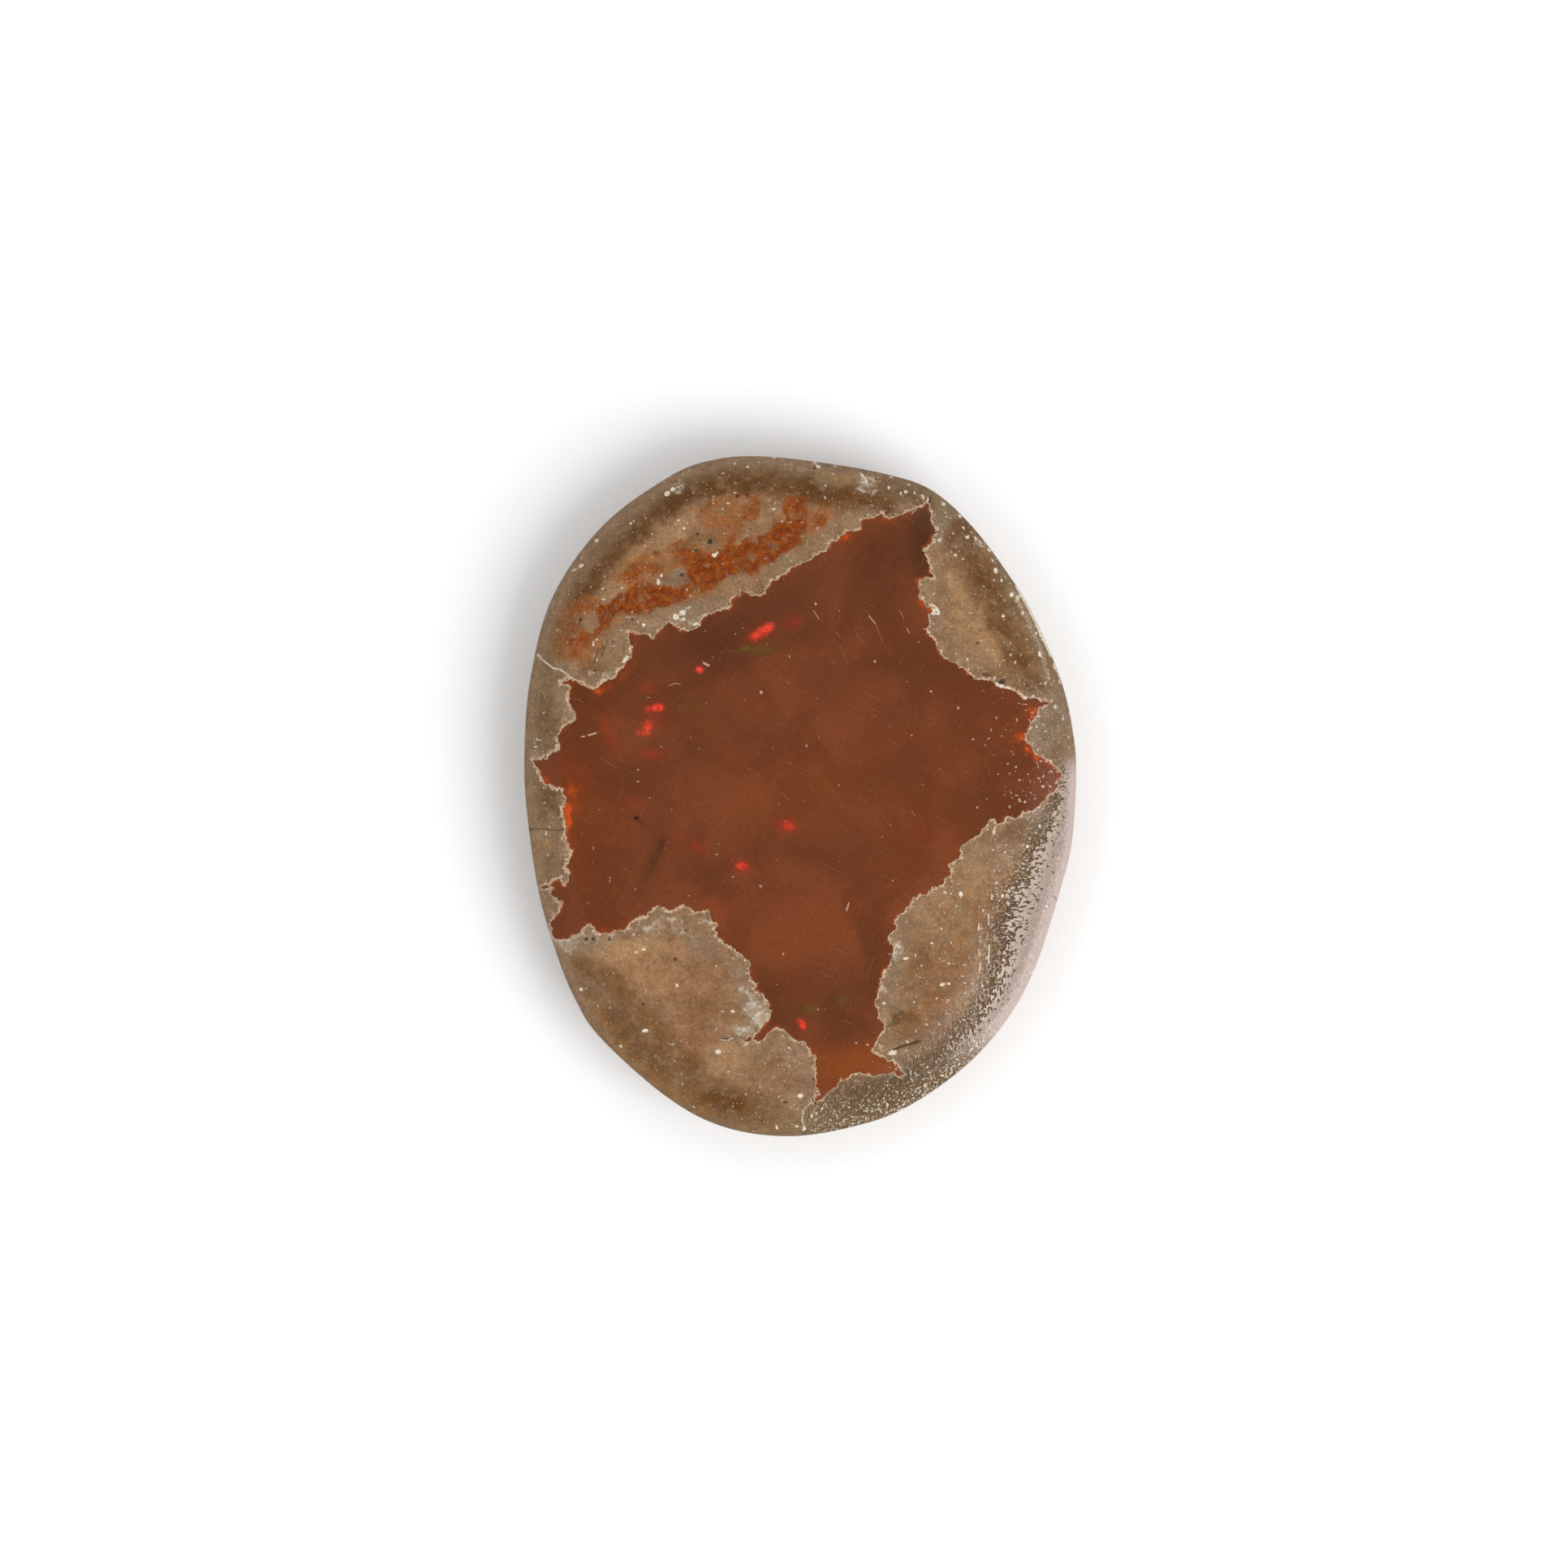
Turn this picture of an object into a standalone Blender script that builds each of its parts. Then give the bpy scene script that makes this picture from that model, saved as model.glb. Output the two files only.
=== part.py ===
"""A polished freeform stone: a star of brown opal set flush in its own grey-tan host rock.

Metres, +Z up. The flat back lies on z = 0 and the origin is at its middle. +Y runs along the
stone's length and +X to the right of someone who looks down on the polished face.
The opal and the rock formed together and were ground as one, so the stone is one closed solid.
The star is a change of material in its faces, on the polished face and on the back.
"""
import math

import bmesh
import bpy
from mathutils import Vector
from mathutils.geometry import delaunay_2d_cdt

MM = 0.001

# Driving dimensions
LENGTH = 40.9 * MM
THICKNESS = 7.0 * MM
CROWN_RISE = 0.6 * MM  # from the rim's inner side up to the middle of the face
SHOULDER_DROP = 2.1 * MM  # from the face down to the girdle
SHOULDER_WIDTH = 2.5 * MM
WIDE_SHOULDER_EXTRA = 2.2 * MM  # how much wider the shoulder is at the lower right
WIDE_SHOULDER_HEADING = math.radians(-38)
WIDE_SHOULDER_SPREAD = math.radians(34)
SHOULDER_POWER = 1.65  # 2 would be a quarter of an ellipse
BACK_INSET = 0.8 * MM  # how far the side leans in from the girdle to the back's bevel
BACK_BEVEL = 0.45 * MM
BACK_STAR_SCALE = 0.7  # the star narrows as it goes down through the rock

# The outlines are drawn in plan units, X to the right and Y down, with LENGTH spanning the rim
PLAN_TOP = 562
PLAN_BOTTOM = 1400
PLAN_LEFT = 646
PLAN_RIGHT = 1326
PLAN_UNIT = LENGTH / (PLAN_BOTTOM - PLAN_TOP)
WIDTH = (PLAN_RIGHT - PLAN_LEFT) * PLAN_UNIT
PLAN_MIDDLE = ((PLAN_LEFT + PLAN_RIGHT) / 2, (PLAN_TOP + PLAN_BOTTOM) / 2)
STAR_MIDDLE = (965, 985)

# Points on the rim, clockwise from the top, joined by a smooth curve
RIM = [
    (934, 562), (1013, 570), (1091, 584), (1148, 604), (1200, 651), (1251, 720), (1275, 762),
    (1295, 806), (1312, 853), (1322, 902), (1326, 950), (1321, 1034), (1308, 1090), (1276, 1190),
    (1240, 1257), (1189, 1314), (1121, 1362), (1060, 1386), (976, 1400), (893, 1389), (822, 1352),
    (741, 1280), (709, 1232), (684, 1170), (663, 1096), (649, 999), (646, 930), (653, 838),
    (680, 737), (741, 649), (823, 588), (876, 567),
]

# Corners of the contact between the opal star and the rock, clockwise from the top spike
CONTACT = [
    (1142, 620), (1147, 622), (1146, 640), (1154, 655), (1148, 667), (1137, 678), (1146, 698),
    (1150, 710), (1138, 712), (1129, 715), (1134, 728), (1131, 736), (1149, 752), (1144, 757),
    (1145, 771), (1138, 775), (1153, 792), (1159, 807), (1180, 819), (1201, 837), (1225, 838),
    (1230, 847), (1247, 848), (1262, 861), (1279, 862), (1295, 864),
    (1280, 872), (1272, 888), (1262, 910), (1273, 923), (1276, 931), (1284, 932), (1297, 944),
    (1309, 957),
    (1302, 970), (1284, 987), (1272, 999), (1258, 1001), (1251, 1008), (1241, 1005),
    (1230, 1014), (1220, 1009), (1204, 1029), (1183, 1046), (1180, 1059), (1167, 1063),
    (1170, 1078), (1160, 1090), (1148, 1093), (1140, 1103), (1133, 1101), (1116, 1120),
    (1103, 1134), (1104, 1143), (1094, 1154), (1101, 1170), (1096, 1187), (1086, 1203),
    (1079, 1234), (1081, 1256), (1090, 1265), (1078, 1284), (1072, 1294), (1092, 1308),
    (1106, 1312), (1115, 1325),
    (1103, 1323), (1080, 1324), (1055, 1321), (1040, 1331), (1035, 1328), (1031, 1338),
    (1012, 1354), (1002, 1357),
    (1010, 1350), (1005, 1340), (1007, 1316), (1005, 1300), (1000, 1299), (993, 1285),
    (979, 1280), (960, 1266), (948, 1271), (936, 1282), (917, 1284),
    (932, 1274), (949, 1254), (948, 1238), (930, 1219), (934, 1211), (925, 1207), (924, 1190),
    (910, 1173), (886, 1157), (884, 1140), (873, 1121), (860, 1123), (840, 1115), (826, 1121),
    (811, 1115), (793, 1128), (776, 1136), (765, 1146), (750, 1150), (738, 1150), (727, 1139),
    (715, 1149), (700, 1156), (683, 1153),
    (680, 1139), (691, 1118), (692, 1112), (679, 1100), (684, 1095), (668, 1094),
    (678, 1090), (688, 1083), (697, 1092), (702, 1076), (696, 1069), (704, 1058), (706, 1048),
    (697, 1030), (693, 998), (698, 988), (693, 972), (672, 966), (657, 938),
    (675, 935), (688, 924), (687, 908), (710, 886), (702, 866), (702, 843), (692, 841),
    (708, 839), (730, 850), (740, 843), (760, 834), (778, 803), (776, 780), (794, 781),
    (804, 788), (826, 768), (845, 778), (860, 773), (868, 760), (890, 750), (897, 751),
    (902, 739), (915, 728), (924, 735), (943, 731), (948, 722), (978, 699), (1010, 680),
    (1018, 680), (1034, 661), (1060, 652), (1065, 640), (1087, 634), (1098, 639), (1118, 630),
]

# How finely the surface is divided
RIM_STEPS = 120
SHOULDER_ROWS = (0.03, 0.11, 0.24, 0.42, 0.66, 1.0)  # shares of the shoulder's width
FACE_SPACING = 1.15 * MM
BACK_SPACING = 3.0 * MM
CLEARANCE = 0.32 * MM  # between a filling point and an outline
# Rows of the side, from the girdle down: a share of the inset and a share of the girdle's height
SIDE_ROWS = ((0.03, 0.9), (0.12, 0.72), (0.34, 0.48), (0.66, 0.25))


def plan_point(point):
    """A point of an outline in metres, seen from above."""
    x, y = point
    return Vector(((x - PLAN_MIDDLE[0]) * PLAN_UNIT, (PLAN_MIDDLE[1] - y) * PLAN_UNIT))


def curve_through(corners, steps_each):
    """A smooth closed curve through the corners, with steps_each points to a stretch."""
    count = len(corners)
    points = []
    for i in range(count):
        a, b, c, d = (corners[(i + k) % count] for k in (-1, 0, 1, 2))
        for step in range(steps_each):
            t = step / steps_each
            points.append(
                0.5 * (2 * b + (c - a) * t + (2 * a - 5 * b + 4 * c - d) * t**2
                       + (3 * b - a - 3 * c + d) * t**3)
            )
    return points


def evenly_spaced(points, count):
    """The closed line through points, divided into count stretches of one length."""
    closed = points + points[:1]
    reach = [0.0]
    for a, b in zip(closed, closed[1:]):
        reach.append(reach[-1] + (b - a).length)
    spaced = []
    at = 0
    for i in range(count):
        wanted = reach[-1] * i / count
        while reach[at + 1] < wanted:
            at += 1
        share = (wanted - reach[at]) / (reach[at + 1] - reach[at])
        spaced.append(closed[at].lerp(closed[at + 1], share))
    return spaced


def inward_normals(rim):
    """At each point of the clockwise rim, the direction straight into the stone."""
    normals = []
    for i in range(len(rim)):
        along = (rim[(i + 1) % len(rim)] - rim[i - 1]).normalized()
        normals.append(Vector((along.y, -along.x)))
    return normals


def distance_to(line, point):
    """From a point to a closed line."""
    nearest = math.inf
    for i in range(len(line)):
        a = line[i - 1]
        side = line[i] - a
        share = max(0.0, min(1.0, (point - a).dot(side) / side.length_squared))
        nearest = min(nearest, (a + side * share - point).length)
    return nearest


def is_inside(line, point):
    inside = False
    for i in range(len(line)):
        a, b = line[i - 1], line[i]
        if (a.y > point.y) != (b.y > point.y):
            if point.x < a.x + (b.x - a.x) * (point.y - a.y) / (b.y - a.y):
                inside = not inside
    return inside


def shoulder_width(point):
    """The shoulder is wider at the lower right, where it was ground longest."""
    turn = math.atan2(point.y, point.x) - WIDE_SHOULDER_HEADING
    turn = math.atan2(math.sin(turn), math.cos(turn))
    return SHOULDER_WIDTH + WIDE_SHOULDER_EXTRA * math.exp(-((turn / WIDE_SHOULDER_SPREAD) ** 2))


def face_height(point, inward):
    """Height of the polished face at a point that lies the given distance in from the rim."""
    out = (2 * point.x / WIDTH) ** 2 + (2 * point.y / LENGTH) ** 2
    left = max(0.0, 1 - inward / shoulder_width(point))
    fall = 1 - (1 - left**SHOULDER_POWER) ** (1 / SHOULDER_POWER)
    return THICKNESS - CROWN_RISE * out - SHOULDER_DROP * fall


def filling_points(spacing, inner_line, lines):
    """A staggered grid of points inside inner_line that keeps clear of every line."""
    points = []
    rows = math.ceil(LENGTH / spacing)
    for row in range(-rows, rows + 1):
        for column in range(-rows, rows + 1):
            point = Vector(((column + 0.5 * (row % 2)) * spacing, row * spacing * math.sin(math.pi / 3)))
            if not is_inside(inner_line, point):
                continue
            if all(distance_to(line, point) > CLEARANCE for line in lines):
                points.append(point)
    return points


def divided_face(rim, star, extra):
    """Triangles over the rim's inside that keep to the star's outline, and which of them are opal."""
    points = rim + star + extra
    rim_face = list(reversed(range(len(rim))))
    star_face = list(reversed(range(len(rim), len(rim) + len(star))))
    cut = delaunay_2d_cdt(points, [], [rim_face, star_face], 1, 1e-9)
    vertices, faces, sources = cut[0], cut[2], cut[5]
    return vertices, faces, [1 in source for source in sources]


def join_rings(mesh, upper, lower):
    """A band of faces between two rings with the same number of points."""
    for i in range(len(upper)):
        mesh.faces.new((upper[i - 1], upper[i], lower[i], lower[i - 1]))


def stone_mesh():
    """The whole stone as one closed mesh with two material slots, rock and opal."""
    rim = evenly_spaced(curve_through([plan_point(p) for p in RIM], 8), RIM_STEPS)
    inward = inward_normals(rim)
    star = [plan_point(p) for p in CONTACT]
    mesh = bmesh.new()

    rows = []
    for share in SHOULDER_ROWS:
        row = [p + n * shoulder_width(p) * share for p, n in zip(rim, inward)]
        rows.append(row)
    shoulder = [p for row in rows for p in row if distance_to(star, p) > CLEARANCE]
    middle = filling_points(FACE_SPACING, rows[-1], [rows[-1], star])
    vertices, faces, opal = divided_face(rim, star, shoulder + middle)
    top = []
    for i, point in enumerate(vertices):
        height = face_height(point, 0.0 if i < RIM_STEPS else distance_to(rim, point))
        top.append(mesh.verts.new((point.x, point.y, height)))
    for face, is_opal in zip(faces, opal):
        mesh.faces.new([top[i] for i in face]).material_index = int(is_opal)

    upper = top[:RIM_STEPS]
    for inset, level in SIDE_ROWS:
        lower = []
        for i, (point, normal) in enumerate(zip(rim, inward)):
            at = point + normal * BACK_INSET * inset
            lower.append(mesh.verts.new((at.x, at.y, top[i].co.z * level)))
        join_rings(mesh, upper, lower)
        upper = lower
    bevel = [p + n * BACK_INSET for p, n in zip(rim, inward)]
    lower = [mesh.verts.new((p.x, p.y, BACK_BEVEL)) for p in bevel]
    join_rings(mesh, upper, lower)
    upper = lower

    back_rim = [p + n * (BACK_INSET + BACK_BEVEL) for p, n in zip(rim, inward)]
    centre = plan_point(STAR_MIDDLE)
    back_star = [centre + (p - centre) * BACK_STAR_SCALE for p in star]
    filling = filling_points(BACK_SPACING, back_rim, [back_rim, back_star])
    vertices, faces, opal = divided_face(back_rim, back_star, filling)
    back = [mesh.verts.new((p.x, p.y, 0.0)) for p in vertices]
    for face, is_opal in zip(faces, opal):
        mesh.faces.new([back[i] for i in reversed(face)]).material_index = int(is_opal)
    join_rings(mesh, upper, back[:RIM_STEPS])

    bmesh.ops.recalc_face_normals(mesh, faces=mesh.faces)
    data = bpy.data.meshes.new("opal_stone")
    mesh.to_mesh(data)
    mesh.free()
    return data


def polished_material(name, colour, roughness):
    material = bpy.data.materials.new(name)
    material.use_nodes = True
    material.diffuse_color = (*colour, 1.0)
    shader = material.node_tree.nodes["Principled BSDF"]
    shader.inputs["Base Color"].default_value = (*colour, 1.0)
    shader.inputs["Roughness"].default_value = roughness
    shader.inputs["Metallic"].default_value = 0.0
    return material


def build():
    for thing in list(bpy.data.objects):
        bpy.data.objects.remove(thing)
    data = stone_mesh()
    data.materials.append(polished_material("host_rock", (0.30, 0.185, 0.105), 0.3))
    data.materials.append(polished_material("brown_opal", (0.174, 0.052, 0.022), 0.12))
    stone = bpy.data.objects.new("opal_stone", data)
    bpy.context.scene.collection.objects.link(stone)
    data.shade_smooth()
    data.set_sharp_from_angle(angle=math.radians(35))


build()
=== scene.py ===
"""The looks of a polished freeform stone: a star of brown opal set flush in grey-tan host rock.

The stone is one fine mesh in the part's own shape. Outlines and marks are drawn in plan units, X to
the right and Y down, as the camera sees them from straight above. Heights are in metres.
"""

import math
from types import SimpleNamespace

import bpy
import numpy as np
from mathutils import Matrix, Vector
from mathutils.geometry import delaunay_2d_cdt
from mathutils.kdtree import KDTree
from mathutils.noise import seed_set, turbulence_vector


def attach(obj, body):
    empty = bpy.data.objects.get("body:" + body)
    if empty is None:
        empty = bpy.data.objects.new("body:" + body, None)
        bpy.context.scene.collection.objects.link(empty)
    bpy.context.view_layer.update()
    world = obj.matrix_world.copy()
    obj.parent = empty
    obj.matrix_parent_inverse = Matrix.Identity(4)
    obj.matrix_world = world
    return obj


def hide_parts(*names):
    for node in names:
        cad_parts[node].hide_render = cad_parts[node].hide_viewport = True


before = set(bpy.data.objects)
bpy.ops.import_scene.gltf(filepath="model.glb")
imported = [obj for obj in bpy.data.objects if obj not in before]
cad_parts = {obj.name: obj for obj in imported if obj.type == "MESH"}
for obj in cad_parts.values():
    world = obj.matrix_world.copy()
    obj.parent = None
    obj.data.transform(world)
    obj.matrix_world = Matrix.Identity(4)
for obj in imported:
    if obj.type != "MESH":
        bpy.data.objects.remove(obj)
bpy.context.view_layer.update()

MM = 0.001
SEED = 7
rng = np.random.default_rng(SEED)
seed_set(SEED)

# The part's own dimensions
LENGTH = 40.9 * MM
THICKNESS = 7.0 * MM
CROWN_RISE = 0.6 * MM
SHOULDER_DROP = 2.1 * MM
SHOULDER_WIDTH = 2.5 * MM
WIDE_SHOULDER_EXTRA = 2.2 * MM
WIDE_SHOULDER_HEADING = math.radians(-38)
WIDE_SHOULDER_SPREAD = math.radians(34)
SHOULDER_POWER = 1.65
BACK_INSET = 0.8 * MM
BACK_BEVEL = 0.45 * MM
BACK_STAR_SCALE = 0.7
PLAN_UNIT = LENGTH / (1400 - 562)
WIDTH = (1326 - 646) * PLAN_UNIT
PLAN_MIDDLE = np.array((986.0, 981.0))
STAR_MIDDLE = (965, 985)

# Relief of the face, with the height that one unit of the material's own relief stands for
ROCK_WEAR = 0.02 * MM
PIT_DEPTH = 0.06 * MM
CRUMB_HEIGHT = 0.02 * MM
GRAIN_HEIGHT = 0.1 * MM

# The mesh: its points along the rim, the millimetres between points over the opal, over the rock,
# along the contact and on the back, and the millimetres from the rim to the rows inside it
RIM_POINTS = 480
OPAL_GRID, ROCK_GRID, CONTACT_GRID, BACK_GRID = 0.185, 0.125, 0.078, 0.7
RIM_ROWS = (0.012, 0.04, 0.09, 0.16, 0.25)
ON_THE_LINE = 0.002 * MM
# Marks with a half width or half height up to this, in plan units, get points of their own
SMALL_MARK = 7
# How far the rock's soft marks are bent, and how large the bends are, in plan units
BEND, BEND_SIZE = 7.0, 16.0

# The map that a bake draws on: its size in pixels, the millimetres that a pixel covers on the face,
# the side and the back, where each of them starts, and the millimetres between the side's strips
MAP_PIXELS = 1024
FACE_PIXEL, SIDE_PIXEL, BACK_PIXEL = 0.0505, 0.098, 0.1
FACE_CORNER, SIDE_CORNER, BACK_CORNER = (8, 206), (8, 192), (682, 300)
STRIP_PITCH = 7.6

# The camera looks straight down, with this many plan units across its picture at the rim's height
PICTURE = 1932
RIM_HEIGHT = THICKNESS - CROWN_RISE - SHOULDER_DROP
LENS, SENSOR = 100.0, 36.0
CAMERA_DISTANCE = PICTURE * PLAN_UNIT * LENS / SENSOR
CAMERA_AT = (np.array((PICTURE, PICTURE)) / 2 - PLAN_MIDDLE) * PLAN_UNIT * (1, -1)
LIGHT_DISTANCE = 0.6

# The stone's outline, clockwise from the top
RIM = [
    (934, 562), (1013, 570), (1091, 584), (1148, 604), (1200, 651), (1251, 720), (1275, 762),
    (1295, 806), (1312, 853), (1322, 902), (1326, 950), (1321, 1034), (1308, 1090), (1276, 1190),
    (1240, 1257), (1189, 1314), (1121, 1362), (1060, 1386), (976, 1400), (893, 1389), (822, 1352),
    (741, 1280), (709, 1232), (684, 1170), (663, 1096), (649, 999), (646, 930), (653, 838),
    (680, 737), (741, 649), (823, 588), (876, 567),
]

# The contact between opal and rock, clockwise from the top spike
CONTACT = [
    (1142, 620), (1147, 622), (1146, 640), (1152, 650), (1154, 655), (1149, 662), (1148, 667),
    (1143, 673), (1137, 678), (1139, 685), (1143, 692), (1146, 698), (1146, 706), (1150, 710),
    (1140, 711), (1138, 714), (1129, 715), (1132, 722), (1134, 728), (1131, 735), (1134, 740),
    (1141, 746), (1149, 752), (1144, 757), (1146, 765), (1145, 771), (1138, 775), (1141, 781),
    (1148, 786), (1153, 792), (1155, 800), (1159, 807), (1165, 812), (1174, 816), (1180, 819),
    (1187, 826), (1195, 831), (1201, 837), (1210, 838), (1218, 839), (1225, 838), (1227, 845),
    (1233, 848), (1240, 849), (1247, 848), (1253, 853), (1257, 858), (1262, 861), (1270, 859),
    (1279, 862), (1288, 863), (1295, 864),
    (1286, 868), (1280, 872), (1278, 878), (1272, 888), (1268, 895), (1264, 903), (1262, 910),
    (1268, 917), (1273, 923), (1276, 931), (1284, 932), (1289, 939), (1297, 944), (1303, 949),
    (1308, 953), (1309, 958),
    (1303, 965), (1302, 972), (1295, 978), (1289, 982), (1284, 987), (1279, 994), (1272, 999),
    (1264, 1000), (1258, 1001), (1253, 1008), (1247, 1007), (1241, 1005), (1237, 1011),
    (1230, 1014), (1226, 1009), (1220, 1009), (1216, 1016), (1210, 1021), (1204, 1029),
    (1196, 1034), (1190, 1040), (1183, 1046), (1184, 1051), (1180, 1059), (1172, 1063),
    (1167, 1063), (1171, 1070), (1169, 1080), (1163, 1084), (1160, 1090), (1155, 1093),
    (1148, 1093), (1146, 1098), (1140, 1103), (1133, 1101), (1129, 1106), (1122, 1113),
    (1116, 1120), (1109, 1127), (1103, 1134), (1104, 1143), (1098, 1149), (1094, 1154),
    (1095, 1160), (1100, 1165), (1101, 1172), (1099, 1180), (1096, 1187), (1090, 1194),
    (1087, 1199), (1085, 1208), (1085, 1215), (1081, 1222), (1079, 1232), (1079, 1240),
    (1081, 1247), (1081, 1256), (1088, 1260), (1090, 1266), (1086, 1272), (1081, 1278),
    (1078, 1284), (1076, 1290), (1072, 1294), (1078, 1297), (1083, 1302), (1092, 1308),
    (1099, 1307), (1106, 1312), (1108, 1318), (1115, 1325),
    (1106, 1326), (1103, 1321), (1098, 1322), (1090, 1323), (1080, 1324), (1074, 1324),
    (1070, 1322), (1062, 1322), (1055, 1321), (1050, 1324), (1045, 1328), (1040, 1331),
    (1036, 1327), (1033, 1330), (1031, 1337), (1026, 1341), (1021, 1346), (1016, 1351),
    (1010, 1355), (1002, 1357),
    (1000, 1354), (1005, 1353), (1010, 1350), (1009, 1344), (1005, 1340), (1006, 1334),
    (1006, 1325), (1007, 1316), (1006, 1308), (1005, 1300), (1000, 1299), (996, 1290),
    (993, 1285), (985, 1282), (979, 1280), (972, 1274), (966, 1268), (960, 1266), (952, 1268),
    (945, 1274), (941, 1279), (936, 1282), (930, 1281), (920, 1283), (917, 1284),
    (924, 1277), (928, 1279), (932, 1274), (938, 1268), (944, 1261), (949, 1254), (950, 1245),
    (948, 1238), (942, 1229), (936, 1223), (930, 1219), (934, 1212), (930, 1210), (925, 1208),
    (923, 1200), (924, 1190), (920, 1183), (915, 1177), (910, 1173), (903, 1169), (899, 1166),
    (892, 1163), (886, 1156), (884, 1149), (884, 1140), (878, 1135), (874, 1128), (873, 1121),
    (866, 1122), (860, 1123), (853, 1119), (847, 1117), (840, 1115), (833, 1118), (826, 1121),
    (818, 1118), (811, 1115), (804, 1118), (801, 1124), (793, 1128), (783, 1131), (776, 1136),
    (773, 1142), (765, 1146), (757, 1146), (750, 1150), (746, 1147), (738, 1150), (733, 1145),
    (727, 1139), (720, 1142), (715, 1149), (708, 1152), (700, 1156), (693, 1156), (688, 1157),
    (681, 1153),
    (680, 1147), (678, 1139), (680, 1135), (684, 1130), (688, 1125), (691, 1118), (692, 1112),
    (686, 1106), (681, 1103), (679, 1098), (684, 1096), (682, 1093), (676, 1093), (668, 1095),
    (666, 1094),
    (672, 1091), (678, 1090), (681, 1087), (687, 1083), (690, 1083), (692, 1088), (695, 1092),
    (698, 1092), (700, 1084), (702, 1076), (700, 1070), (695, 1069), (700, 1064), (704, 1058),
    (704, 1050), (706, 1048), (701, 1043), (698, 1036), (697, 1028), (697, 1024), (696, 1015),
    (696, 1008), (694, 1002), (693, 998), (698, 990), (697, 982), (693, 972), (688, 970),
    (680, 967), (673, 966), (669, 960), (666, 952), (661, 944), (657, 938),
    (664, 937), (674, 936), (676, 932), (680, 927), (688, 924), (688, 915), (687, 908),
    (692, 902), (696, 896), (701, 892), (708, 890), (710, 884), (708, 877), (704, 872),
    (702, 862), (702, 852), (702, 843), (695, 843), (692, 841),
    (700, 839), (708, 839), (715, 842), (722, 847), (730, 850), (737, 848), (740, 843),
    (746, 840), (754, 838), (760, 834), (765, 826), (770, 820), (775, 812), (778, 803),
    (776, 790), (776, 780), (780, 780), (788, 782), (794, 781), (800, 783), (804, 788),
    (807, 782), (813, 778), (819, 771), (826, 768), (832, 771), (838, 777), (845, 778),
    (853, 777), (860, 773), (864, 766), (868, 760), (875, 757), (883, 753), (890, 750),
    (897, 751), (901, 745), (902, 739), (909, 734), (915, 728), (920, 730), (924, 735),
    (936, 734), (943, 732), (943, 727), (948, 722), (953, 716), (962, 712), (970, 704),
    (978, 699), (988, 694), (998, 690), (1004, 684), (1010, 680), (1018, 680), (1021, 674),
    (1030, 667), (1034, 661), (1040, 658), (1048, 654), (1056, 654), (1060, 652), (1061, 646),
    (1065, 640), (1072, 639), (1080, 637), (1087, 634), (1088, 638), (1098, 639), (1106, 636),
    (1113, 635), (1118, 630), (1126, 628), (1133, 625), (1138, 624),
]

# A blob is (x, y, half width, half height, strength, turn in degrees clockwise). A strength of 1 and
# a turn of 0 are left out at its end. A stroke is (width, strength, points).

# Rust-stained rock
RUST_BLOBS = [
    (756, 746, 20, 12, 0.9, -25), (745, 766, 10, 14, 0.75, 30), (790, 738, 30, 17, 1.3, -8),
    (822, 732, 22, 14, 0.85, -15), (845, 716, 22, 16, 0.95, -25), (870, 706, 24, 18, 1.1, -15),
    (900, 692, 22, 17, 1, -20), (925, 685, 22, 18, 1, -20), (945, 676, 24, 18, 1.05, -30),
    (965, 662, 22, 18, 1, -45), (980, 642, 14, 18, 0.9, 20), (975, 624, 14, 12, 0.65),
    (992, 622, 10, 10, 0.6), (1010, 645, 11, 10, 0.6), (992, 670, 8, 5, 0.5),
    (905, 668, 26, 9, 0.65, -30), (895, 655, 12, 10, 0.45), (925, 630, 18, 14, 0.5, -30),
    (915, 608, 14, 5, 0.4, -10), (872, 622, 12, 8, 0.4, -20), (850, 690, 18, 12, 0.6, -10),
    (835, 676, 16, 10, 0.55, -10), (778, 705, 20, 10, 0.55, -40), (805, 700, 14, 8, 0.4, -30),
    (712, 786, 16, 14, 0.6, 10), (716, 748, 20, 10, 0.45, -10), (706, 806, 14, 8, 0.35),
    (735, 776, 12, 8, 0.6, -40), (855, 665, 8, 14, 0.35, -20),
]
# The lighter orange that surrounds the rust
TINT_BLOBS = [
    (905, 632, 44, 22, 0.62, -10), (870, 642, 28, 26, 0.5, -30), (842, 692, 30, 16, 0.7, -25),
    (782, 708, 36, 18, 0.8, -40), (800, 690, 24, 14, 0.6, -30), (712, 785, 26, 34, 0.7, 20),
    (718, 750, 26, 16, 0.6, -20), (1005, 640, 24, 22, 0.6, -20), (900, 672, 44, 20, 0.7, -25),
    (840, 725, 60, 24, 0.5, -20), (965, 640, 34, 30, 0.5, -40), (760, 750, 34, 22, 0.5, -30),
    (950, 616, 30, 8, 0.3), (720, 802, 30, 14, 0.4, 10), (991, 630, 14, 10, 0.6),
]

# Grey patches that break up the rust
GREY_BLOBS = [
    (950, 627, 9, 14, 0.9, 10), (935, 648, 18, 10, 0.9, -40), (915, 660, 14, 6, 0.7, -30),
    (873, 667, 13, 12, 0.8), (832, 712, 14, 11, 0.95, -30), (724, 766, 12, 11, 0.9),
    (858, 634, 6, 16, 0.6), (757, 730, 18, 8, 0.8, -30), (888, 630, 9, 6, 0.5),
    (985, 684, 12, 10, 0.6, -30), (1000, 625, 10, 6, 0.3, -30), (845, 700, 6, 5, 0.3),
]

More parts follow.
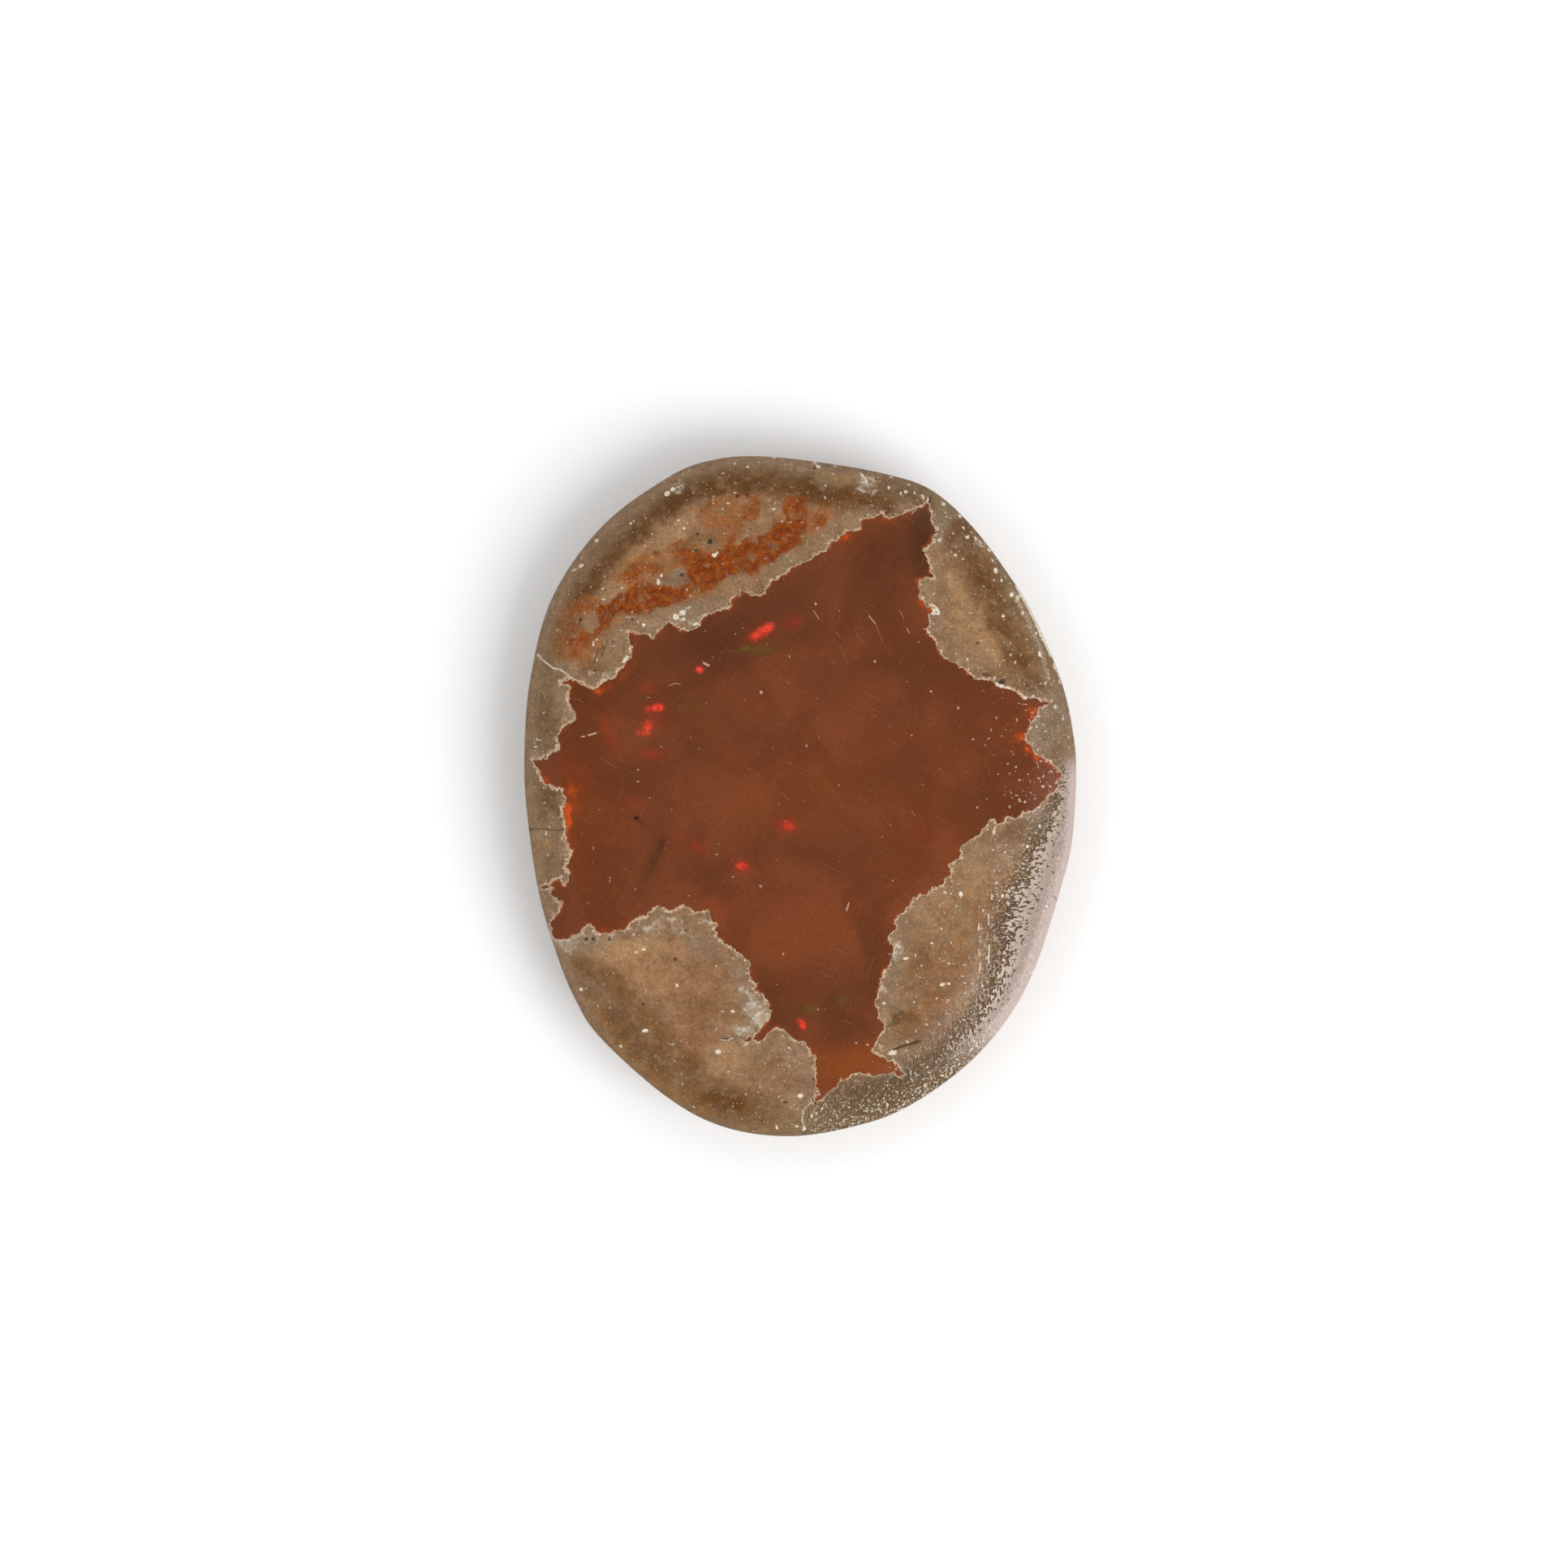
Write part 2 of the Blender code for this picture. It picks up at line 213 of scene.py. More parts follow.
# Lighter tan clouds in the rock
TAN_BLOBS = [
    (826, 662, 24, 16, 0.75, -30), (782, 684, 16, 22, 0.65, 30), (940, 632, 40, 8, 0.35),
    (765, 722, 24, 8, 0.5, -25), (1189, 731, 14, 30, 0.75, -30), (1185, 765, 14, 26, 0.5, -20),
    (1218, 795, 34, 12, 0.75, 50), (1200, 690, 16, 16, 0.3), (1149, 692, 6, 14, 0.5),
    (1228, 1052, 22, 18, 0.45, -40), (1205, 1075, 30, 14, 0.35, -50), (1165, 1110, 24, 30, 0.35, 30),
    (1242, 1076, 16, 22, 0.6), (1190, 1150, 14, 18, 0.35), (1128, 1256, 18, 12, 0.45),
    (780, 1168, 40, 12, 0.75, -8), (715, 1172, 22, 12, 0.5, -10), (748, 1180, 40, 12, 0.6, -15),
    (830, 1165, 30, 14, 0.4), (892, 1305, 24, 16, 0.6), (868, 1330, 20, 12, 0.1),
    (1027, 1349, 16, 9, 0.5), (667, 1034, 13, 13, 0.75), (805, 1205, 46, 26, 0.5),
    (1236, 1000, 30, 8, 0.2, -10), (1036, 586, 36, 7, 0.35, 8), (690, 852, 8, 10, 0.2),
    (682, 790, 10, 20, 0.15, 10),
]
# Ash grey clouds, and along the right shoulder a painted sheen
ASH_AND_SHEEN_BLOBS = [
    (1290, 900, 26, 36, 0.8), (1285, 1015, 26, 20, 0.6, -20), (1150, 652, 8, 26, 0.5),
    (1160, 636, 12, 18, 0.6), (1306, 876, 9, 30, 0.5, -10), (1064, 592, 14, 12, 0.35, -20),
    (1130, 606, 26, 8, 0.3, 15), (1278, 850, 14, 12, 0.6), (1140, 765, 14, 20, 0.5),
    (700, 870, 16, 30, 0.3), (715, 1160, 26, 10, 0.4), (832, 712, 14, 9, 0.5, -30),
    (862, 1168, 18, 12, 0.5, 40), (925, 1225, 16, 30, 0.6), (1230, 1052, 26, 16, 0.5, -40),
    (1095, 1200, 14, 40, 0.4), (855, 745, 24, 10, 0.5, -20),
]
# Reddish brown clouds
WARM_BLOBS = [
    (1152, 1240, 20, 12, 0.7, -10), (1170, 1180, 24, 60, 0.35, 8), (850, 1215, 60, 40, 0.35, 10),
    (858, 1285, 26, 20, 0.5, -30), (1215, 1120, 20, 40, 0.3, 10), (775, 1200, 40, 24, 0.25),
    (904, 722, 60, 9, 0.3, -25), (828, 1258, 30, 20, 0.3, 20), (1210, 680, 20, 16, 0.3, 30),
    (1185, 1215, 16, 30, 0.25, 10),
]
# Dark olive brown clouds, and the strokes of the darker band inside the shoulder
OLIVE_BLOBS = [
    (735, 1198, 34, 13, 0.65, 30), (765, 1222, 26, 14, 0.55, 30), (795, 1250, 24, 16, 0.4, 30),
    (822, 1288, 26, 14, 0.45, 40), (852, 1320, 26, 14, 0.6, 30), (888, 1356, 38, 17, 0.95, 15),
    (925, 1362, 32, 18, 0.6, 10), (1175, 668, 12, 14, 0.6), (1200, 705, 26, 12, 0.6, 20),
    (1225, 762, 12, 22, 0.7, 10), (1250, 806, 12, 26, 0.7, -15), (1264, 820, 12, 34, 0.7, -15),
    (1218, 730, 14, 30, 0.75, -25), (1187, 656, 18, 12, 0.8, 40), (678, 985, 13, 20, 0.7),
    (678, 897, 12, 24, 0.55), (728, 822, 16, 12, 0.6), (1115, 1260, 20, 16, 0.8),
    (1150, 1268, 30, 14, 0.5, -30), (1140, 1215, 30, 40, 0.3, 20), (1200, 720, 12, 24, 0.5),
    (1238, 830, 14, 8, 0.5, 20), (1120, 612, 30, 10, 0.5, 15), (1050, 1345, 40, 10, 0.55, -8),
    (1110, 1335, 30, 10, 0.1, -15), (1150, 1300, 30, 14, 0.35, -25), (1180, 1262, 16, 20, 0.35, 20),
    (1222, 1040, 10, 14, 0.2), (1258, 1022, 26, 10, 0.6, -20), (1112, 1250, 16, 8, 0.3, -10),
    (1296, 900, 16, 20, 0.3), (705, 1215, 14, 26, 0.2, -30), (880, 1240, 30, 14, 0.15),
    (1222, 828, 12, 8, 0.4, 20), (1301, 930, 8, 12, 0.5), (720, 800, 16, 8, 0.5),
    (862, 662, 12, 8, 0.35),
]
OLIVE_STROKES = [
    (22, 0.95, [(694, 796), (702, 771), (716, 739), (741, 705), (770, 671), (797, 644), (826, 621)]),
    (26, 1, [(826, 621), (862, 604), (901, 597), (950, 596), (998, 606), (1040, 613), (1092, 619)]),
    (30, 0.8, [(1180, 664), (1192, 682), (1222, 735), (1248, 792), (1270, 840)]),
    (34, 0.6, [(757, 1258), (772, 1274), (806, 1303), (842, 1330), (876, 1348), (905, 1362)]),
]
# The golden olive of the lower left shoulder
GOLD_STROKES = [
    (22, 0.85, [(716, 1227), (747, 1274), (786, 1311), (826, 1344), (866, 1366)]),
    (22, 0.35, [(672, 1150), (690, 1180), (714, 1225)]),
    (16, 0.5, [(654, 962), (660, 1045), (672, 1110), (690, 1168)]),
]

# Pale crumbs with painted glints on their crystals, and pale lines: along the right rim a painted
# highlight, and on the ground shoulder short painted glints
GLINT_AND_CRUMB_BLOBS = [
    (822, 608, 5, 4, 1, -30), (829, 603, 4, 4, 0.9), (836, 600, 3, 2, 0.7), (735, 666, 4, 3, 0.8),
    (716, 697, 5, 3, 0.9, -35), (708, 702, 6, 2, 0.7, -20), (777, 645, 2.5, 2, 0.9),
    (843, 651, 2, 3, 0.8, -30), (880, 684, 4, 3), (884, 681, 2, 2, 0.9), (811, 717, 2.2, 4.5, 1.2, -10),
    (815, 709, 2, 3, 1.1, 15), (793, 770, 2.5, 3.5, 1, -30), (833, 760, 5, 5), (841, 755, 5, 4, 1, -20),
    (842, 763, 4, 3, 0.9), (848, 749, 7, 1.6, 0.7, -30), (857, 769, 6, 3, 0.8, -20),
    (771, 812, 7, 2.5, 1, -45), (731, 793, 1.6, 5, 0.9), (735, 788, 3, 1.5, 0.7),
    (765, 830, 4, 2.5, 0.8, -40), (897, 620, 3, 2, 0.7), (953, 627, 4, 2.5, 0.7, -20),
    (836, 641, 3, 2, 0.7), (745, 710, 2.5, 2, 0.6), (1004, 569, 5, 3, 0.9), (1008, 575, 5, 2.5, 0.9),
    (955, 564, 3, 2, 0.9), (962, 567, 3, 2, 0.8), (921, 575, 2.5, 2, 0.9), (906, 571, 2, 2, 0.7),
    (891, 583, 3, 1.6, 0.7, -20), (1028, 574, 3, 1.8, 0.7), (1027, 584, 3, 2, 0.7),
    (980, 569, 1.8, 2.5, 0.7), (1062, 585, 2, 5, 1, -25), (1067, 592, 2, 6, 1, -20), (1095, 601, 2, 3),
    (1110, 608, 2, 3, 0.9), (1116, 606, 4, 3, 0.8), (1120, 597, 2, 2.5, 0.9),
    (1127, 607, 1.8, 3, 0.8, -30), (1098, 588, 2.5, 1.8, 0.9), (1076, 606, 2, 1.5, 0.7),
    (1137, 612, 2, 5, 0.9, -25), (1143, 616, 2, 5, 0.8, 10), (1109, 587, 2, 1.5, 0.6),
    (1162, 620, 3, 4, 1, -30), (1184, 637, 3, 3.5, 1, -30), (1192, 662, 3, 2.5),
    (1202, 663, 1.6, 4, 1, -20), (1208, 668, 5, 2.5, 0.7, 30), (1212, 673, 5, 2.5, 0.7, -10),
    (1219, 678, 2.5, 2), (1227, 703, 3, 5, 1.1, -15), (1223, 690, 2, 4, 0.8, -25),
    (1246, 733, 3, 3.5, 1, -30), (1254, 737, 2, 4, 0.9, -15), (1236, 759, 3, 2.5, 0.9),
    (1177, 684, 3, 2.5, 0.9), (1234, 715, 2, 3, 0.8), (1260, 755, 2, 3, 0.8), (1277, 780, 2.5, 2, 0.8),
    (1281, 806, 2, 4, 1, -15), (1299, 822, 2, 5, 1, -25), (1251, 816, 2, 2.5, 0.8),
    (1245, 807, 3, 2, 0.6, -30), (1265, 788, 2.5, 2, 0.6), (1192, 812, 1.8, 2.5, 0.8),
    (1187, 650, 3, 2, 0.8, 30), (1197, 655, 2, 3, 0.8), (1233, 845, 6, 3.5, 1, 15), (1242, 848, 5, 3),
    (1262, 860, 5, 3, 1, 10), (1228, 843, 2, 4, 0.8), (1255, 855, 2, 2, 0.8),
    (1150, 753, 7, 4, 0.8, -20), (1300, 871, 3, 4, 0.8), (1310, 885, 2, 4, 0.7), (1288, 842, 2, 3, 0.8),
    (1158, 665, 5, 3, 0.7, -30), (1306, 842, 2, 4, 0.7), (1184, 1102, 3, 4.5, 1.1, -10),
    (1161, 1213, 4.5, 2.5, 1.1, -8), (1169, 1212, 2.5, 2), (1116, 1181, 4.5, 2.5, 1, -10),
    (1128, 1177, 1.8, 4, 0.7), (1089, 1236, 3, 2), (1100, 1297, 7, 3.5, 1.05, -12),
    (1148, 1162, 2.5, 1.6, 0.9), (1169, 1187, 2, 1.6, 0.9), (1160, 1144, 2, 1.6, 0.8),
    (1154, 1230, 2, 2, 0.8), (1168, 1232, 2, 1.6, 0.7), (1222, 1105, 2, 5), (1211, 1122, 1.8, 2, 0.8),
    (1235, 1104, 2, 4, 0.9, 20), (1228, 1088, 3, 3, 0.8), (1243, 1098, 3, 3, 0.9), (1266, 1043, 2.5, 3),
    (1281, 1018, 2, 3, 0.9), (1276, 1026, 2, 2, 0.8), (1225, 1023, 2, 7, 0.95, 15),
    (1238, 1050, 2, 2, 0.8), (1104, 1283, 2, 2, 0.4), (1118, 1284, 4, 1.6, 0.8, 35),
    (903, 1246, 3, 3, 0.9), (885, 1296, 4.5, 3.5, 1.1, -10), (986, 1350, 5, 3.5),
    (972, 1291, 2.5, 1.5, 0.9), (784, 1173, 2.5, 2, 1.1), (793, 1170, 2.8, 2, 1.1, -15),
    (834, 1214, 2, 3, 1.1, -30), (716, 1219, 3, 3), (795, 1270, 5, 3, 1, -8), (839, 1282, 2, 4, 0.5),
    (765, 1289, 2, 3, 0.9, -20), (689, 1210, 2, 2, 0.5), (890, 1246, 3, 2, 0.6), (808, 1301, 2, 2, 0.6),
    (662, 911, 3, 2, 0.7), (666, 912, 2, 2, 0.6), (660, 920, 3, 1.6, 0.8), (675, 1053, 3, 5, 0.5, 10),
    (673, 1027, 2, 5, 0.7), (666, 936, 4, 2, 0.8, -10), (707, 1034, 2.2, 3.5, 1.1), (991, 1392, 3, 5),
    (957, 1389, 1.6, 4, 1, -10), (982, 1388, 2.5, 2, 0.9), (1000, 1375, 2, 4, 0.8),
    (1006, 1372, 2, 3, 0.8), (1013, 1366, 2, 2.5, 0.8), (1271, 1199, 1.8, 4, 1, 15),
    (1290, 1117, 2, 1.6, 0.9), (744, 778, 3, 2, 0.3),
]
HIGHLIGHT_AND_PALE_STROKES = [
    (4, 1, [(1253, 723), (1265, 744), (1277, 767)]), (5.4, 1, [(1278, 770), (1289, 792), (1296, 808)]),
    (3.4, 0.6, [(1299, 816), (1306, 838)]),
    (9, 0.44, [(1248, 730), (1266, 762), (1282, 798), (1292, 835)]),
    (3, 0.75, [(660, 803), (666, 811), (675, 818), (681, 823), (690, 825), (701, 832)]),
    (2.4, 0.7, [(1000, 1357), (990, 1368), (988, 1380), (992, 1390)]),
    (2.4, 0.8, [(1206, 1138), (1206, 1147)]), (2, 0.7, [(1207, 1153), (1208, 1163)]),
    (2.6, 0.7, [(1206, 1170), (1207, 1178)]), (2.2, 0.8, [(1208, 1185), (1207, 1199)]),
    (1.8, 0.6, [(1209, 1205), (1210, 1216)]), (2.4, 0.9, [(1218, 1126), (1218, 1141)]),
    (1.8, 0.7, [(1217, 1149), (1216, 1158)]), (2.4, 0.9, [(1219, 1165), (1218, 1186)]),
    (2, 0.6, [(1217, 1193), (1218, 1201)]), (2, 0.6, [(1203, 1223), (1204, 1233)]),
    (2.2, 0.7, [(1207, 1238), (1208, 1246)]), (1.8, 0.5, [(1211, 1251), (1212, 1259)]),
    (1.8, 0.5, [(1197, 1206), (1196, 1218)]), (1.6, 0.5, [(1213, 1158), (1213, 1168)]),
    (1.8, 0.6, [(1223, 1118), (1224, 1126)]), (1.6, 0.5, [(1202, 1176), (1202, 1186)]),
    (1.6, 0.45, [(1172, 1120), (1175, 1145), (1174, 1170)]),
    (2.2, 0.5, [(1214, 1010), (1206, 1022), (1199, 1030)]),
    (2.4, 0.8, [(1147, 744), (1155, 749), (1158, 756), (1149, 757)]),
    (2, 0.45, [(1137, 725), (1143, 733), (1150, 733), (1152, 725)]),
    (1.6, 0.4, [(815, 1135), (824, 1128)]), (2.2, 0.7, [(903, 1279), (897, 1282), (888, 1281)]),
    (2, 0.6, [(915, 1288), (925, 1286), (937, 1285)]),
    (2, 0.6, [(722, 1152), (719, 1160), (724, 1163)]),
    (2, 0.6, [(733, 1150), (738, 1158), (735, 1163)]),
    (2, 0.5, [(750, 1150), (757, 1156), (754, 1162)]),
]

# Chalky patches with crumbs in them, and beside the opal's right tip a painted glare
CHALK_AND_GLARE_BLOBS = [
    (928, 1245, 14, 9, 0.95, 10), (936, 1252, 10, 8, 0.9), (916, 1221, 7, 5, 0.75, 30),
    (930, 1262, 12, 6, 0.9, -20), (915, 1270, 14, 6, 0.9, 10), (905, 1266, 6, 5, 0.7),
    (929, 1232, 6, 7, 0.7), (941, 1240, 5, 10, 0.6), (797, 1144, 6, 4, 0.75),
    (841, 1150, 6, 3.5, 0.9, -5), (826, 1133, 6, 4, 0.6), (866, 1136, 7, 4, 0.6),
    (815, 1143, 5, 3, 0.5, -30), (828, 1286, 5, 2.5, 0.6), (902, 1166, 4, 3, 0.5),
    (913, 1180, 5, 4, 0.35), (1000, 1300, 4, 5, 0.4), (700, 1165, 10, 10), (690, 1160, 7, 6),
    (708, 1159, 8, 5, 0.8), (880, 1137, 5, 6, 0.5), (1104, 1169, 9, 12, 0.8), (1088, 1219, 5, 6, 0.4),
    (729, 830, 8, 5, 0.5, -20), (752, 832, 14, 7, 0.7, -25), (700, 836, 10, 4, 0.5, 10),
    (1146, 700, 2.5, 6, 0.4), (1085, 1290, 4, 4, 0.5), (866, 1124, 4, 3, 0.4),
    (746, 1213, 4, 3, 0.45, 20), (763, 1270, 3, 3, 0.5), (932, 1248, 20, 16, 0.5, 10),
    (838, 760, 14, 9, 0.5, -10), (858, 766, 14, 7, 0.7, -20), (663, 928, 10, 8, 0.6),
    (1240, 852, 16, 8, 0.4, 10), (1104, 1296, 12, 8, 0.4), (1100, 1262, 20, 20, 0.2),
    (820, 1142, 50, 16, 0.35, -5), (905, 1190, 14, 30, 0.25, -20), (975, 1300, 24, 20, 0.2),
    (1068, 597, 12, 16, 0.75, -20), (834, 600, 14, 9, 0.6, -30), (812, 770, 14, 6, 0.5, -10),
    (1208, 668, 10, 8, 0.5, 20), (1310, 985, 8, 30, 0.5), (1150, 650, 8, 24, 0.3),
    (1150, 760, 14, 16, 0.3),
]

# Dark specks, pits and holes, and the cracks
DARK_BLOBS = [
    (860, 658, 3, 2.5, 0.8), (875, 667, 3.5, 3.5, 1.1), (856, 678, 5, 1.8, 0.9, -10),
    (809, 681, 6, 4, 0.65), (840, 708, 3, 2.5, 0.9), (745, 727, 2, 1.8, 0.7), (715, 763, 2, 2.2),
    (779, 763, 2, 2, 0.8), (755, 790, 2.5, 2, 0.7), (908, 611, 3, 2, 0.9), (920, 609, 2.5, 2, 0.8),
    (925, 652, 4, 1.8, 0.6, 30), (957, 671, 4.5, 2.5, 0.6), (955, 690, 6, 1.8, 0.5),
    (837, 625, 2, 1.6, 0.6), (1037, 632, 2, 2, 0.5), (1004, 576, 3, 3, 0.8), (733, 826, 3, 2, 0.7),
    (1215, 831, 6, 3, 0.7), (1234, 840, 4.5, 3.5), (1204, 792, 3, 2, 0.8), (1092, 632, 2.5, 2.5, 0.7),
    (1184, 710, 3, 2, 0.5), (1180, 669, 4, 6, 0.5), (1175, 1107, 4, 4.5, 0.5), (1110, 1247, 5, 3, 0.6),
    (1106, 1250, 3, 2, 0.6), (832, 1182, 3.5, 3.5, 0.75), (792, 1237, 2, 1.6), (868, 1223, 4, 2, 0.5),
    (824, 1157, 3, 2, 0.5), (968, 1358, 4, 2, 0.8), (845, 1146, 3, 1.5, 0.7), (906, 1240, 2, 2, 0.5),
    (722, 1157, 3, 3, 0.9), (731, 1157, 2.6, 2.4, 1.1), (751, 1157, 1.6, 4, 0.8), (992, 1395, 3, 3),
    (973, 1396, 2.5, 2, 0.8), (1004, 1359, 2.5, 1.6, 0.8), (1002, 1329, 2, 3, 0.7),
    (766, 1274, 2, 2, 0.5), (826, 1284, 2, 2, 0.4), (1146, 616, 2, 6, 0.8, 5), (877, 1150, 2, 2, 0.6),
    (893, 1280, 5, 1.4, 0.9, 5), (921, 1282, 5, 1.5, 0.9, 10), (935, 1281, 5, 1.4, 0.9),
    (1155, 655, 1.6, 2, 0.8), (1300, 1106, 1.6, 5, 0.7, -30), (940, 1295, 2, 1.6, 0.3),
    (948, 1352, 3, 2, 0.4), (752, 792, 2, 1.6, 0.4),
]
DARK_STROKES = [
    (2.2, 0.85, [(742, 795), (744, 801), (741, 808)]), (2, 0.8, [(748, 788), (745, 798), (740, 800)]),
    (2.4, 0.85, [(736, 800), (734, 808), (731, 816)]), (1.6, 0.6, [(740, 760), (747, 752)]),
    (1.6, 0.5, [(744, 775), (752, 765)]), (1.6, 0.5, [(741, 768), (749, 760)]),
    (1.7, 0.8, [(652, 1022), (668, 1021), (684, 1023), (698, 1022)]),
    (2, 0.8, [(1147, 604), (1146, 613), (1147, 622)]),
    (3, 1.15, [(1101, 1293), (1112, 1289), (1122, 1286), (1131, 1283)]),
    (2, 0.7, [(1229, 1025), (1224, 1032), (1222, 1040)]),
    (1.8, 0.7, [(995, 1362), (997, 1372), (994, 1384)]), (1.4, 0.5, [(1284, 866), (1296, 865)]),
    (1.6, 0.5, [(662, 806), (670, 817), (680, 826)]),
]

# Fire in the opal
FIRE_BLOBS = [
    (938, 779, 10, 6, 0.8, -22), (947, 773, 7, 5, 0.9, -25), (930, 785, 7, 4, 0.8),
    (862, 825, 5, 4, 1.1), (811, 872, 7, 4.5), (801, 874, 7, 3.5, 0.6, -10),
    (798, 895, 5, 6.5, 0.9, 20), (793, 903, 9, 3, 0.55), (972, 1018, 6, 4.5, 0.65),
    (914, 1067, 7, 4, 0.75), (989, 1263, 4, 5.5, 1.1, -10), (985, 1258, 3, 2.5, 0.9),
]
# Dim fire deeper in the opal
EMBER_BLOBS = [
    (978, 766, 10, 8, 0.2, -20), (753, 908, 6, 13, 0.15, -25), (745, 894, 4, 10, 0.2),
    (803, 930, 12, 6, 0.22), (783, 990, 12, 10, 0.1), (968, 1017, 12, 8, 0.3), (862, 1045, 10, 8, 0.14),
    (857, 1042, 4, 6, 0.2), (1138, 1030, 26, 14, 0.05), (980, 1122, 26, 16, 0.04),
    (806, 884, 14, 20, 0.14, 20), (938, 779, 22, 12, 0.08, -22), (914, 1067, 12, 9, 0.2),
    (796, 848, 8, 6, 0.14), (835, 1035, 20, 10, 0.06, 30),
]

# Green fire
GREEN_BLOBS = [
    (919, 799, 6, 2.5, 0.8, -10), (938, 801, 14, 6, 0.35), (1000, 1243, 10, 7, 0.35),
    (1037, 1233, 6, 8, 0.35), (905, 802, 8, 2, 0.35), (850, 870, 20, 8, 0.12),
]

# Orange glow, mostly along the contact
GLOW_BLOBS = [
    (1040, 663, 10, 5, 1.2, -25), (1090, 640, 20, 5, 0.5, -10), (1120, 633, 12, 5, 0.6, -20),
    (1138, 744, 7, 11, 0.95, -40), (1146, 752, 5, 5), (1142, 766, 4, 8, 0.6),
    (1270, 874, 12, 8, 0.75, -30), (1276, 880, 7, 13, 0.8, 20), (1256, 908, 10, 8, 1.2),
    (1268, 924, 8, 6, 1.1, 30), (1284, 938, 8, 6, 0.6, 20), (1276, 932, 15, 5, 0.9, 38),
    (1245, 900, 10, 8, 0.3), (698, 1012, 6, 13, 1.9), (700, 996, 7, 10), (704, 985, 12, 28, 0.75),
    (712, 960, 22, 34, 0.4, -15), (700, 945, 30, 12, 0.3, -10), (704, 1040, 9, 12, 0.5),
    (740, 851, 9, 6, 1.1), (752, 846, 12, 6, 0.7, -20), (768, 828, 10, 12, 0.6, 30),
    (782, 808, 8, 22, 0.4, 10), (690, 1118, 8, 12, 0.5, 10), (742, 1146, 12, 5, 0.6),
    (727, 1136, 10, 4, 0.3), (770, 1140, 10, 5, 0.4, -30), (1086, 1214, 5, 8, 0.8),
    (1080, 1260, 4, 8, 0.4), (800, 840, 44, 18, 0.22, -12), (830, 832, 30, 12, 0.18, -8),
    (880, 1120, 16, 8, 0.5, 30), (892, 1150, 8, 14, 0.5, -10), (905, 1120, 40, 20, 0.18),
    (928, 1200, 6, 14, 0.5), (1050, 1310, 46, 16, 0.2, -5), (1100, 1316, 12, 6, 0.4),
    (965, 720, 20, 5, 0.3, -28), (1108, 1128, 6, 10, 0.35, 30), (1150, 1098, 12, 6, 0.3, -10),
    (1060, 655, 10, 5, 0.6, -20), (672, 960, 5, 8, 0.7, -30), (905, 745, 4, 6, 0.4),
    (850, 875, 26, 10, 0.14),
]
# Broad shifts of the opal's brown: positive is lighter and more orange, negative is darker
TONE_BLOBS = [
    (765, 1045, 70, 55, -0.15), (1050, 1312, 60, 24, 0.65, -5), (1000, 1140, 90, 40, 0.12, -15),
    (960, 1170, 50, 50, 0.15), (930, 865, 60, 30, -0.15), (830, 960, 60, 30, -0.12),
    (960, 1112, 40, 30, -0.12), (900, 800, 130, 30, -0.5, -12), (715, 885, 24, 50, -0.6),
    (1140, 660, 20, 50, -0.7), (1110, 680, 50, 50, -0.4), (830, 790, 50, 20, -0.15, -10),
    (960, 735, 80, 26, -0.5, -28), (1080, 1160, 20, 60, -0.1, 15), (1150, 1000, 70, 60, 0.15),
    (1000, 970, 90, 50, 0.22, -20), (1040, 1045, 80, 16, -0.12, -5), (1100, 845, 60, 36, -0.45),
    (806, 1060, 10, 40, -0.3, 25), (1240, 960, 60, 30, -0.15), (680, 1140, 18, 16, -0.3),
    (945, 1225, 14, 30, -0.35, -20), (1287, 955, 24, 17, -0.6), (1020, 1235, 50, 40, -0.45),
    (1180, 900, 90, 50, 0.1, 25), (1100, 1060, 40, 50, 0.15),
]
# Scratches and dust on the polish of the opal
SCRATCHES = [
    (1.8, 0.55, [(1002, 752), (1010, 764)]), (1.8, 0.7, [(1070, 758), (1079, 769)]),
    (1.2, 0.45, [(1079, 769), (1088, 792)]), (1.2, 0.4, [(1055, 780), (1066, 797)]),
    (1.4, 0.45, [(1030, 778), (1035, 786)]), (1.2, 0.4, [(1034, 793), (1045, 818)]),
    (1.6, 0.5, [(1108, 752), (1114, 762)]), (1.8, 0.6, [(1117, 774), (1121, 781)]),
    (1.2, 0.35, [(982, 762), (990, 776)]), (1.8, 0.9, [(716, 908), (721, 907)]),
    (2.2, 1, [(725, 906), (735, 903)]), (1.8, 0.55, [(824, 845), (831, 842), (838, 843)]),
    (2.8, 1, [(867, 817), (873, 820)]), (1, 0.4, [(850, 783), (870, 792), (892, 801)]),
    (1.2, 0.45, [(706, 860), (713, 862), (719, 866)]), (1.2, 0.4, [(738, 933), (748, 939), (760, 946)]),
    (2.2, 0.8, [(1043, 1122), (1046, 1112)]), (1.2, 0.4, [(1078, 1178), (1072, 1192), (1068, 1206)]),
    (1, 0.35, [(1086, 1100), (1089, 1115), (1092, 1132)]), (1.4, 0.45, [(1123, 998), (1128, 1006)]),
    (1.2, 0.4, [(963, 975), (972, 986)]), (1.8, 0.65, [(1123, 634), (1129, 627)]),
    (1, 0.3, [(873, 822), (880, 836)]), (1, 0.3, [(962, 990), (970, 1004)]),
    (1, 0.3, [(1010, 1090), (1020, 1115)]), (1.2, 0.35, [(1130, 868), (1128, 890)]),
    (1, 0.25, [(906, 802), (926, 799)]), (1, 0.25, [(1150, 815), (1140, 830)]),
    (1, 0.25, [(850, 868), (820, 890)]), (1, 0.22, [(960, 930), (950, 950)]),
    (1, 0.25, [(1068, 1190), (1066, 1230)]), (1, 0.3, [(940, 765), (932, 768)]),
    (0.9, 0.22, [(1150, 1000), (1190, 985)]), (0.9, 0.25, [(1200, 1000), (1215, 1008)]),
    (0.9, 0.2, [(1035, 1010), (1030, 1060)]),
]
